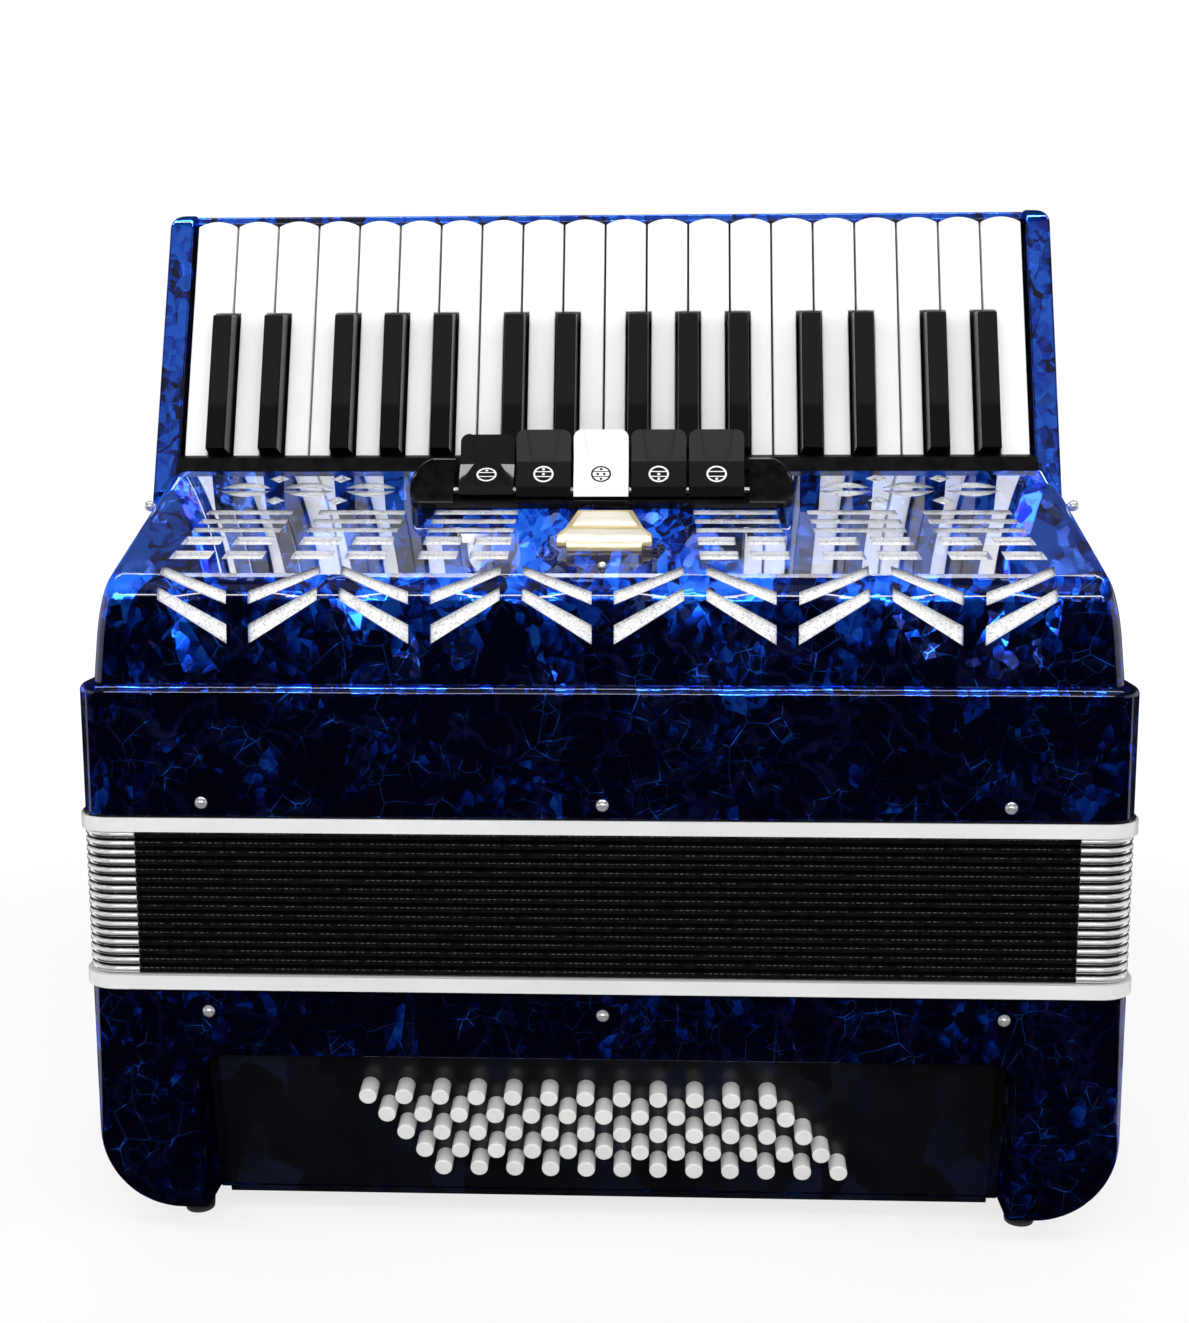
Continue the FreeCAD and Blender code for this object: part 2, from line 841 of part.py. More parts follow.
def treble_case():
    outer = rounded_prism(half_length, half_depth, plan_corner_radius, treble_bottom, treble_top)
    rim = edges_at(outer, lambda c, e: abs(c.z - treble_top) < pivot_gap)
    outer = outer.makeFillet(treble_edge_radius, rim)
    inside = rounded_prism(half_length - treble_wall, half_depth - treble_wall,
                           plan_corner_radius - treble_wall,
                           treble_bottom - overrun, treble_top - treble_pan_thickness)
    hollow = hood(hood_wall)
    sunk = hollow.copy()
    sunk.translate(V(0, 0, -hood_wall))
    case = outer.cut(inside).fuse(hood().cut([hollow, sunk]))
    front, back = pad_span()
    trim = (pad_length - valve_hole_length) / 2
    cuts = [pin_hole(*place) for place in pin_places(treble_bottom + pin_rise)]
    for x in lever_places():
        x0 = x - valve_hole_width / 2
        cuts.append(block(x0, x0 + valve_hole_width, front + trim, back - trim,
                          treble_top - treble_pan_thickness - overrun, treble_top + overrun))
    return case.cut(cuts).removeSplitter()


def line_meet(p, d, q, e):
    """Meeting point of two lines in a plane, each a point and a direction."""
    cross = d[0] * e[1] - d[1] * e[0]
    along = ((q[0] - p[0]) * e[1] - (q[1] - p[1]) * e[0]) / cross
    return (p[0] + d[0] * along, p[1] + d[1] * along)


def grille_profile(inset):
    """Outline of the grille: front, round shoulder and slope, open at the back and below when inset."""
    a = math.radians(slope_angle)
    front_foot = (grille_front_setback - half_depth + inset, treble_top)
    front_way = (grille_front_lean, 1.0)
    slope_start = slope_point(0.0, -inset)
    slope_way = (math.cos(a), math.sin(a))
    corner = line_meet(front_foot, front_way, slope_start, slope_way)
    extra = overrun if inset else 0.0
    low = treble_top - extra
    back = slope_top.y + extra
    foot = line_meet(front_foot, front_way, (0.0, low), (1.0, 0.0))
    top = line_meet(slope_start, slope_way, (back, 0.0), (0.0, 1.0))
    points = [foot, corner, top, (back, low)]
    return prism_x(points, -half_length, half_length, [0.0, grille_shoulder_radius - inset, 0.0, 0.0])


def grille_solid():
    """Outer form of the grille with soft ends."""
    solid = between_ends(grille_profile(0.0))

    def is_end_edge(c, e):
        on_end = abs(abs(c.x) - hood_half(c.z)) < grille_wall
        rises = e.BoundBox.ZLength > pivot_gap
        return on_end and rises and c.y < slope_top.y - pivot_gap

    return solid.makeFillet(grille_end_radius, edges_at(solid, is_end_edge))


def slope_bars():
    """Bars in six fans, drawn flat on the slope."""
    bars = []

    def bar(share0, share1, s, height, shift0=0.0, shift1=0.0):
        near = s - height / 2
        far = s + height / 2
        for side in (-1, 1):
            points = [
                (side * (share0 * (fan_reach + near) + shift0), -near),
                (side * (share1 * (fan_reach + near) + shift1), -near),
                (side * (share1 * (fan_reach + far) + shift1), -far),
                (side * (share0 * (fan_reach + far) + shift0), -far),
            ]
            bars.append(on_slope(prism_z(points, -grille_wall - overrun, overrun)))

    for share0, share1 in bar_group_shares:
        middle = (share0 + share1) / 2
        for start in bar_starts:
            bar(share0, share1, bar_first + start, bar_height)
        for i in range(2):
            s = short_bar_first + i * short_bar_pitch
            bar(share0, middle, s, short_bar_height, 0.0, -short_bar_gap / 2)
            bar(middle, share1, s, short_bar_height, short_bar_gap / 2, 0.0)
    return bars


def chevrons():
    """Two zigzag rows of slots, cut straight in from the front."""
    slots = []
    rows = [
        (lower_chevron_rise, lower_chevron_fall, lower_chevron_thin, lower_chevron_thick),
        (upper_chevron_rise, upper_chevron_fall, upper_chevron_thin, upper_chevron_thick),
    ]
    for rise, fall, thin, thick in rows:
        high = treble_top + rise
        for i in range(chevron_count):
            middle = (i - (chevron_count - 1) / 2) * chevron_pitch
            way = 1 if i % 2 == 0 else -1
            outer = middle - way * chevron_width / 2
            inner = middle + way * chevron_width / 2
            points = [(outer, high), (outer, high - thin), (inner, high - fall - thick), (inner, high - fall)]
            slots.append(prism_y(points, -half_depth - overrun, slope_top.y - overrun))
    return slots


def lens(x, t, length, height):
    """Pointed oval drawn flat on the slope."""
    low = -grille_wall - overrun
    half = length / 2
    upper = Part.Arc(V(x - half, t, low), V(x, t + height / 2, low), V(x + half, t, low)).toShape()
    lower = Part.Arc(V(x + half, t, low), V(x, t - height / 2, low), V(x - half, t, low)).toShape()
    return Part.Face(Part.Wire([upper, lower])).extrude(V(0, 0, grille_wall + 2 * overrun))


def ornaments():
    """Plain ovals split by a rib, with lozenges between them, on each side of the plate."""
    cuts = []
    for side in (-1, 1):
        for i in (-1, 0, 1):
            x = side * ornament_x + i * lens_pitch
            oval = lens(x, -ornament_setback, lens_length, lens_height)
            rib = block(x - lens_length, x + lens_length, -ornament_setback - lens_rib / 2,
                        -ornament_setback + lens_rib / 2, -half_depth, half_depth)
            cuts.append(on_slope(oval.cut(rib)))
        for i in (-1, 1):
            x = side * ornament_x + i * lens_pitch / 2
            for t in (-lozenge_setback, 2 * (lozenge_setback - ornament_setback) - lozenge_setback):
                points = [(x - lozenge_length / 2, t), (x, t - lozenge_height / 2),
                          (x + lozenge_length / 2, t), (x, t + lozenge_height / 2)]
                cuts.append(on_slope(prism_z(points, -grille_wall - overrun, overrun)))
    return cuts


def treble_grille():
    shell = grille_solid().cut(between_ends(grille_profile(grille_wall), grille_wall))
    return shell.cut(slope_bars() + chevrons() + ornaments())


# Keys with their levers and valve pads


def lever_and_pad(x):
    """Lever down from the key's tail and the valve pad under its end, in body coordinates."""
    axle_y, axle_z = axle_place()
    tail_y, tail_z = key_point(-key_tail, 0.0)
    root_y, root_z = key_point(-key_tail, -key_thickness / 2)
    pad_y = axle_y - lever_reach
    pad_low = treble_top + pad_gap
    pad_top = pad_low + pad_height
    drop = lever_thickness / 2
    points = [
        (tail_y + lever_lap, tail_z),
        (pad_y - drop, pad_top + lever_thickness),
        (pad_y - drop, pad_top),
        (pad_y + drop, pad_top),
        (root_y + lever_lap, root_z),
    ]
    lever = prism_x(points, x - lever_width / 2, x + lever_width / 2)
    front, back = pad_span()
    pad = block(x - pad_width / 2, x + pad_width / 2, front, back, pad_low, pad_top)
    return lever, pad


def axle_bore():
    """Bore through every key for the common axle."""
    y, z = axle_place()
    return rod_x(axle_radius + pivot_gap, -half_length, half_length, y, z)


def white_key(x0, x1, tail0, tail1):
    """White key drawn flat: narrow tail between the black keys and a wide head with a bowed tip."""
    shoulder = black_length + black_bevel + key_gap
    tip = key_visible_length
    low = -key_thickness
    middle = (x0 + x1) / 2
    rows = [(tail0, -key_tail)]
    if tail0 > x0:
        rows += [(tail0, shoulder)]
    rows += [(x0, shoulder), (x0, tip)] if tail0 > x0 else [(x0, tip)]
    right = [(x1, tip), (x1, shoulder), (tail1, shoulder)] if tail1 < x1 else [(x1, tip)]
    right += [(tail1, -key_tail)]
    edges = []
    for (xa, ua), (xb, ub) in zip(rows, rows[1:]):
        edges.append(Part.makeLine(V(xa, ua, low), V(xb, ub, low)))
    edges.append(Part.Arc(V(x0, tip, low), V(middle, tip + key_tip_bow, low), V(x1, tip, low)).toShape())
    for (xa, ua), (xb, ub) in zip(right, right[1:]):
        edges.append(Part.makeLine(V(xa, ua, low), V(xb, ub, low)))
    edges.append(Part.makeLine(V(right[-1][0], right[-1][1], low), V(rows[0][0], rows[0][1], low)))
    body = Part.Face(Part.Wire(edges)).extrude(V(0, 0, key_thickness))
    top = edges_at(body, lambda c, e: abs(e.BoundBox.ZMin) < pivot_gap and abs(c.z) < pivot_gap)
    return body.makeFillet(key_edge_radius, top)


def black_key(x0, x1):
    """Black key drawn flat: low tail and a raised, tapered top with a bevelled end."""
    middle = (x0 + x1) / 2
    end = black_length + black_bevel
    tail = block(x0, x1, -key_tail, end, -key_thickness, 0)
    half = black_top_width / 2

    def ring(half_width, u0, u1, w):
        points = [V(middle - half_width, u0, w), V(middle + half_width, u0, w),
                  V(middle + half_width, u1, w), V(middle - half_width, u1, w)]
        return outline(points)

    wide = black_foot_width / 2
    foot = ring(wide, black_tail_start, end, 0)
    crest = ring(half, black_tail_start, black_length, black_height)
    top = Part.makeLoft([foot, crest], True, True)
    crown = edges_at(top, lambda c, e: c.z > pivot_gap and c.y > black_tail_start + pivot_gap)
    top = top.makeFillet(black_edge_radius, crown)
    return tail.fuse(top).removeSplitter()


def key_solids(kind, x0, x1, tail0, tail1):
    flat = white_key(x0, x1, tail0, tail1) if kind == "white" else black_key(x0, x1)
    lever, pad = lever_and_pad(keyboard_shift + (tail0 + tail1) / 2)
    return [on_keyboard(flat).fuse(lever).cut(axle_bore()).removeSplitter(), pad]


# Keyboard bed with its cheeks


def cheek(side):
    """Upright wall at one end of the keys, rounded at its top, drawn flat."""
    back = -bed_drop - bed_thickness
    inner = side * cheek_inner
    outer = side * cheek_outer
    points = [V(inner, -cheek_root, back), V(outer, -cheek_root, back),
              V(outer, bed_length, back), V(inner, bed_length, back)]
    wire = outline(points, [0.0, 0.0, cheek_corner_radius, 0.0])
    body = Part.Face(wire).extrude(V(0, 0, cheek_rise - back))
    left = min(inner, outer)
    points = [(-cheek_root, back), (bed_length, back), (bed_length, cheek_rise), (-cheek_root, cheek_rise)]
    nose = prism_x(points, left, left + cheek_thickness, [0.0, bed_edge_radius, cheek_nose_radius, 0.0])
    body = body.common(nose)

    def is_front(c, e):
        return e.BoundBox.ZMin > cheek_rise - pivot_gap and e.Length > bed_length / 2

    return body.makeFillet(cheek_edge_radius, edges_at(body, is_front))


def keyboard_bed():
    """Sloping board behind the keys, with cheeks, a skirt down to the treble case and end walls."""
    back = -bed_drop - bed_thickness
    low = treble_top + pad_gap
    face = slope_top.y + slide_gap
    root = key_plane_at(-bed_drop, treble_top)
    middle = -bed_drop - bed_thickness / 2
    board = block(-cheek_inner, cheek_inner, -cheek_root, bed_length, back, -bed_drop)
    top_edge = edges_at(board, lambda c, e: c.y > bed_length - pivot_gap and e.Length > cheek_inner)
    board = board.makeFillet(bed_edge_radius, top_edge)
    rail = block(-cheek_inner, cheek_inner, bed_length - end_rail_thickness, bed_length,
                 middle, -end_rail_drop)
    rail_edges = edges_at(rail, lambda c, e: c.z > -end_rail_drop - pivot_gap and e.Length > cheek_inner)
    board = on_keyboard(board.fuse(rail.makeFillet(end_rail_radius, rail_edges)))
    skirt = on_keyboard(block(-half_length, half_length, root, -cheek_root, back, -bed_drop))
    points = [
        (face, low),
        (face, slope_top.z - cheek_root / 2),
        key_point(-cheek_root / 2, middle),
        key_point(key_plane_at(middle, low), middle),
    ]
    walls = prism_x(points, -half_length, half_length)
    walls = between_ends(walls).cut(between_ends(walls, hood_wall))
    bed = board.fuse([on_keyboard(cheek(-1)), on_keyboard(cheek(1)), between_ends(skirt), walls])
    far = slope_point(0.0, slide_gap)
    near = slope_point(-cheek_root, slide_gap)
    below = treble_bottom
    points = [(near[0], below), (face, below), (face, far[1]), far, near]
    grille_room = prism_x(points, -half_length, half_length)
    case_room = block(-half_length, half_length, -half_depth, half_depth, below, low)
    axle_y, axle_z = axle_place()
    reach = cheek_inner + cheek_thickness / 2
    socket = rod_x(axle_radius + pivot_gap, keyboard_shift - reach, keyboard_shift + reach, axle_y, axle_z)
    return bed.cut([grille_room, case_room, hood(0.0, slide_gap / 2), socket]).removeSplitter()


# Register plate, rail and switches

pivot_y, pivot_z = slope_point(-switch_pivot_run, switch_pivot_rise)


def register_x(i):
    return keyboard_shift + (i - (register_count - 1) / 2) * register_pitch


def key_rail():
    """Bar that closes the slit between the grille and the keys."""
    grille_top = slope_top.z
    face = slope_top.y + slide_gap
    points = [
        (face, grille_top - rail_sink),
        (face, grille_top + rail_front_rise),
        (face + rail_nose, grille_top + rail_height),
        key_point(rail_front_rise, rail_back_gap),
        key_point(-rail_tail, rail_back_gap),
    ]
    half = cheek_inner - slide_gap
    return prism_x(points, keyboard_shift - half, keyboard_shift + half)


def register_plate():
    """Plate on the slope with a low front lip and a raised block at each end of the switches."""
    front = -plate_length
    back = -plate_back_setback
    points = [(-plate_half_front, front), (plate_half_front, front),
              (plate_half_back, back), (-plate_half_back, back)]
    radii = [plate_corner_radius, plate_corner_radius, plate_shoulder_radius, plate_shoulder_radius]
    base = prism_z(points, slide_gap / 2, plate_thickness, radii)
    lip = prism_z(points, slide_gap / 2, plate_lip_height, radii)
    lip = lip.common(block(-body_length, body_length, front - overrun, front + plate_lip_width,
                           0, plate_lip_height))
    tall = prism_z(points, slide_gap / 2, block_back_height, radii)
    span = plate_length - plate_back_setback
    side = [
        (front, 0.0),
        (front, block_front_height),
        (front + span / 2, block_back_height * block_bulge_share),
        (back - plate_lip_width, block_back_height),
        (back, block_back_height * block_back_share),
        (back, 0.0),
    ]
    wedge = prism_x(side, block_start, body_length, [0.0, 0.0, plate_length / 2, plate_lip_width, 0.0, 0.0])
    ends = tall.common(wedge.fuse(mirrored_x(wedge)))

    def is_rim(c, e):
        return e.BoundBox.ZMin > plate_lip_height - pivot_gap and abs(c.x) > block_start + pivot_gap

    ends = ends.makeFillet(block_edge_radius, edges_at(ends, is_rim))
    axle_hole = rod_x(switch_axle_radius + pivot_gap, -plate_half_front + plate_corner_radius,
                      plate_half_front - plate_corner_radius, -switch_pivot_run, switch_pivot_rise)
    plate = base.fuse([lip, ends]).cut(axle_hole).removeSplitter()
    plate.translate(V(keyboard_shift, 0, 0))
    return on_slope(plate)


def side_bevel(sections):
    """Wedge that bevels one side of a switch; each section has its height, ridge, face and fall."""
    outer = register_width / 2 + overrun
    wires = []
    for z, ridge, face_y, fall in sections:
        points = [(ridge, face_y), (outer, face_y + fall), (outer, -outer), (ridge, -outer)]
        wires.append(Part.makePolygon([V(x, y, z) for x, y in points + points[:1]]))
    return Part.makeLoft(wires, True, True)


def switch_blank():
    """Switch standing up, drawn about its pivot: foot, sloping face and scooped tongue."""
    lean = math.radians(switch_top_lean)
    tip_y = switch_length * math.sin(lean)
    tip_z = switch_length * math.cos(lean)
    points = [
        (-switch_hub_front, -switch_foot_drop),
        (-switch_hub_front, switch_face_rise),
        (-switch_hub_front + switch_face_back * 2, switch_face_rise + switch_face_run),
        (tip_y, tip_z),
        (tip_y + switch_top_thickness, tip_z),
        (tip_y + switch_top_thickness, switch_face_rise + switch_face_run * 2),
        (switch_foot_thickness - switch_hub_front, switch_face_rise + switch_face_run / 2),
        (switch_foot_thickness - switch_hub_front, -switch_foot_drop / 4),
        (0.0, -switch_foot_drop),
    ]
    half = register_width / 2
    body = prism_x(points, -half, half)
    front_room = overrun + switch_hub_front
    frame = [(-half, -2 * switch_foot_drop), (half, -2 * switch_foot_drop), (half, tip_z), (-half, tip_z)]
    radii = [0.0, 0.0, switch_corner_radius, switch_corner_radius]
    rounded = prism_y(frame, -front_room, 2 * overrun + tip_y, radii)
    body = body.common(rounded)
    knee_y = -switch_hub_front + switch_face_back * 2
    knee_z = switch_face_rise + switch_face_run
    high = tip_z + overrun
    bevel = side_bevel([
        (switch_face_rise, half, -switch_hub_front, 0.0),
        (knee_z, ridge_half_knee, knee_y, switch_bevel_depth),
        (high, ridge_half_tip, tip_y, switch_bevel_depth),
    ])
    scoop_foot = ridge_half_knee - scoop_rim
    scoop_tip = ridge_half_tip - scoop_rim
    points = [(-scoop_foot, knee_z + scoop_rim), (scoop_foot, knee_z + scoop_rim), (scoop_tip, high),
              (-scoop_tip, high)]
    scoop = prism_y(points, -front_room, knee_y + scoop_depth,
                    [scoop_corner_radius, scoop_corner_radius, 0.0, 0.0])
    bore = rod_x(switch_axle_radius + pivot_gap, -half - overrun, half + overrun, 0, 0)
    return body.cut([bevel, mirrored_x(bevel), scoop, bore]).removeSplitter()


def register_switch(i):
    blank = switch_blank()
    if i + 1 == pressed_switch:
        blank.rotate(V(0, 0, 0), V(1, 0, 0), -switch_throw)
    blank.translate(V(register_x(i), pivot_y, pivot_z))
    return blank


def pivot_rods():
    """Steel axles of the keys and of the switches."""
    axle_y, axle_z = axle_place()
    half = cheek_inner + cheek_thickness / 2 - slide_gap
    key_axle = rod_x(axle_radius, keyboard_shift - half, keyboard_shift + half, axle_y, axle_z)
    reach = plate_half_front - plate_corner_radius - slide_gap
    switch_axle = rod_x(switch_axle_radius, keyboard_shift - reach, keyboard_shift + reach, pivot_y, pivot_z)
    return [key_axle, switch_axle]


# Metal fittings on the treble side


def ball_stud(side):
    """Ball on a short stem, at the end of the grille."""
    z = treble_top + stud_rise
    y = stud_setback - half_depth
    face = side * (hood_half(z - stud_stem_radius) + stud_seat)
    ball = Part.makeSphere(stud_radius, V(face + side * (stud_radius + stud_seat), y, z))
    stem = Part.makeCylinder(stud_stem_radius, stud_radius, V(face, y, z), V(side, 0, 0))
    return ball.fuse(stem).removeSplitter()


def strap_bracket(x):
    """Bent wire loop on a small plate at the back of the treble case."""
    z = treble_bottom + bracket_rise
    face = half_depth
    half = bracket_width / 2
    plate_half = bracket_plate_width / 2
    points = [(x - plate_half, z - bracket_plate_height / 2), (x + plate_half, z - bracket_plate_height / 2),
              (x + plate_half, z + bracket_plate_height / 2), (x - plate_half, z + bracket_plate_height / 2)]
    plate = prism_y(points, face, face + bracket_plate_thickness, [bracket_plate_height / 4] * len(points))
    path = [V(x - half, face, z), V(x - half, face + bracket_reach, z),
            V(x + half, face + bracket_reach, z), V(x + half, face, z)]
    bend = bracket_wire_radius * 2
    legs = []
    for side in (-1, 1):
        foot = V(x + side * half, face, z)
        legs.append(Part.makeCylinder(bracket_wire_radius, bracket_reach - bend, foot, V(0, 1, 0)))
        knee_x = x + side * (half - bend)
        knee_y = face + bracket_reach - bend
        knee = Part.makeTorus(bend, bracket_wire_radius, V(knee_x, knee_y, z))
        quarter = block(min(0, side) * overrun + knee_x, max(0, side) * overrun + knee_x,
                        knee_y, knee_y + bend + overrun, z - overrun, z + overrun)
        legs.append(knee.common(quarter))
    bar = rod_x(bracket_wire_radius, x - half + bend, x + half - bend, face + bracket_reach, z)
    return plate.fuse(legs + [bar]).removeSplitter()


def treble_fittings():
    pieces = [ball_stud(-1), ball_stud(1)]
    pieces += [pin(*place) for place in pin_places(treble_bottom + pin_rise)]
    for setback in bracket_setbacks:
        pieces.append(strap_bracket(half_length - setback))
        pieces.append(strap_bracket(setback - half_length))
    return pieces


# Write every piece

save("bass_case", [bass_case()])
save("bass_button_board", [bass_button_board()])
save("bass_note_buttons", button_group(range(bass_note_rows)))
save("bass_chord_buttons", button_group(range(bass_note_rows, button_rows)))
save("bass_palm_plate", [palm_plate()])
save("air_button", [air_button()])
save("bass_strap", [bass_strap()])
save("rubber_feet", rubber_feet())
save("bass_frame", [bellows_frame(bass_top)])
save("bass_pins", [pin(*place) for place in pin_places(bass_top - pin_drop)])
save("bass_reed_block", [reed_block(0.0, bass_top - bass_pan_drop, bass_reed_block_height)])
save("bellows_folds", [bellows_folds()])
save("bellows_corners", bellows_corners())
save("treble_frame", [bellows_frame(bellows_top)])
save("treble_case", [treble_case()])
reed_low = treble_top - treble_pan_thickness - treble_reed_block_height
save("treble_reed_blocks", [reed_block(i * reed_block_pitch, reed_low, treble_reed_block_height)
                            for i in (-1, 1)])
save("treble_grille", [treble_grille()])
save("treble_fittings", treble_fittings())
save("keyboard_bed", [keyboard_bed()])
save("rail_and_register_plate", [key_rail(), register_plate()])
save("pivot_rods", pivot_rods())
for i in range(register_count):
    save("register_" + str(i + 1), [register_switch(i)])
for name, kind, x0, x1, tail0, tail1 in key_layout():
    save("key_" + name, key_solids(kind, x0, x1, tail0, tail1))
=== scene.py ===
"""Piano accordion: the finish of every piece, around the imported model. Lengths are in metres."""

import math

import bmesh
import bpy
from mathutils import Matrix, Vector


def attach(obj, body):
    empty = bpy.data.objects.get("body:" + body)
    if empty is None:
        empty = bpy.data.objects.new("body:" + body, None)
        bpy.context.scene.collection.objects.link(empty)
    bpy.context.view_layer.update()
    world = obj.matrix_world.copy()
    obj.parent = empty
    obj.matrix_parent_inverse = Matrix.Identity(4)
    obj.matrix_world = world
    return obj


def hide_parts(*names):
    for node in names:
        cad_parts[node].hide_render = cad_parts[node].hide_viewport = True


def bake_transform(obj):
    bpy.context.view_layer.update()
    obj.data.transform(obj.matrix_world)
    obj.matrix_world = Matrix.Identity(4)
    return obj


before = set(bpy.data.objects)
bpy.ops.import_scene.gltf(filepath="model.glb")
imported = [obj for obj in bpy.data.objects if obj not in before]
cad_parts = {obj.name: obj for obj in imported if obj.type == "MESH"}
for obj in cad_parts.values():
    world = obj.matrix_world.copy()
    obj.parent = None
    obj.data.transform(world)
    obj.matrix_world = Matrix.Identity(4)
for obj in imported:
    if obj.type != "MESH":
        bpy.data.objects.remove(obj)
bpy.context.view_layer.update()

MM = 0.001
scene = bpy.context.scene

# Sizes taken over from the model, in millimetres
BELLOWS_LOW, BELLOWS_HIGH = 118.2, 179.64
FOLDS, FOLD_PITCH = 16, 3.84
HALF_LENGTH, HALF_DEPTH, PLAN_RADIUS = 217.3, 95.0, 14.0
FOLD_PEAK, FOLD_VALLEY = 0.3, 6.0
GUARD_LENGTH, GUARD_HEIGHT, GUARD_OUTER = 23.8, 2.9, -0.3
TREBLE_TOP = 240.34
SLOPE_TOP_Y, SLOPE_TOP_Z, SLOPE_ANGLE = -31.0, 324.74, math.radians(38.74)
GRILLE_FOOT_Y, GRILLE_LEAN, SHOULDER_RADIUS = -88.5, 0.072, 15.0
# Half length of the grille: its ends lean in slowly up to the knee, and faster above it
HOOD_HALF, HOOD_LOW_LEAN, KNEE_LEAN, HOOD_KNEE = 211.3, 0.085, 0.275, 31.7
KEY_BASE_Y, KEY_BASE_Z, KEY_LEAN = -23.8, 330.64, math.radians(19.94)
KEY_SHIFT, REGISTER_PITCH = -2.0, 24.4
# Signs of x and y at the body's corners, anticlockwise, and the steps of a rounded corner
CORNERS = ((1, 1), (-1, 1), (-1, -1), (1, -1))
CORNER_STEPS = 8


# Node trees

class Socket:
    """Output of a node, with arithmetic that adds Math nodes."""

    def __init__(self, nodes, link):
        self.nodes = nodes
        self.link = link

    def math(self, operation, *others):
        values = dict(enumerate((self,) + others))
        return self.nodes.add("ShaderNodeMath", {"operation": operation}, values)

    def out(self, name):
        """Another output of the same node."""
        return Socket(self.nodes, self.link.node.outputs[name])

    def __add__(self, other):
        return self.math("ADD", other)

    def __sub__(self, other):
        return self.math("SUBTRACT", other)

    def __rsub__(self, other):
        return self.nodes.add("ShaderNodeMath", {"operation": "SUBTRACT"}, {0: other, 1: self})

    def __mul__(self, other):
        return self.math("MULTIPLY", other)

    def __truediv__(self, other):
        return self.math("DIVIDE", other)

    def __rtruediv__(self, other):
        return self.nodes.add("ShaderNodeMath", {"operation": "DIVIDE"}, {0: other, 1: self})

    __radd__ = __add__
    __rmul__ = __mul__

    def __lt__(self, other):
        return self.math("LESS_THAN", other)

    def __gt__(self, other):
        return self.math("GREATER_THAN", other)

    def __abs__(self):
        return self.math("ABSOLUTE")

    def smooth(self, low, high):
        """0 below low and 1 above high, with a soft step between."""
        return self.nodes.add("ShaderNodeMapRange", {"interpolation_type": "SMOOTHSTEP"},
                              {"Value": self, "From Min": low, "From Max": high})


class Nodes:
    """A node tree under construction."""

    def __init__(self, tree):
        self.tree = tree

    def add(self, kind, settings=None, values=None, out=0):
        """Add a node, set it up, fill its sockets and return one of its outputs."""
        node = self.tree.nodes.new(kind)
        for key, value in (settings or {}).items():
            if key == "stops":
                self.fill_ramp(node.color_ramp, value)
            elif key == "items":
                for i in range(len(node.index_switch_items), value):
                    node.index_switch_items.new()
            else:
                setattr(node, key, value)
        for key, value in (values or {}).items():
            socket = node.inputs[key]
            if isinstance(value, Socket):
                self.tree.links.new(value.link, socket)
            elif socket.type == "RGBA" and len(value) == 3:
                socket.default_value = (*value, 1.0)
            else:
                socket.default_value = value
        return Socket(self, node.outputs[out]) if node.outputs else None

    @staticmethod
    def fill_ramp(ramp, stops):
        while len(ramp.elements) < len(stops):
            ramp.elements.new(1.0)
        for element, (place, colour) in zip(ramp.elements, stops):
            element.position = place
            element.color = (*colour, 1.0)

    def vector(self, operation, *values, out=0):
        return self.add("ShaderNodeVectorMath", {"operation": operation}, dict(enumerate(values)), out)

    def scaled(self, vector, factor):
        return self.add("ShaderNodeVectorMath", {"operation": "SCALE"}, {0: vector, "Scale": factor})

    def parts(self, vector):
        x = self.add("ShaderNodeSeparateXYZ", values={0: vector})
        return x, x.out("Y"), x.out("Z")

    def joined(self, x, y, z):
        return self.add("ShaderNodeCombineXYZ", values={0: x, 1: y, 2: z})

    def mix(self, factor, a, b):
        """Colour between a and b."""
        settings = {"data_type": "RGBA", "clamp_factor": True}
        return self.add("ShaderNodeMix", settings, {0: factor, 6: a, 7: b}, out=2)

    def ramp(self, factor, *stops):
        return self.add("ShaderNodeValToRGB", {"stops": stops}, {0: factor})


def emptied(block):
    """The node tree of a material or world, without its nodes."""
    block.use_nodes = True
    block.node_tree.nodes.clear()
    return block.node_tree


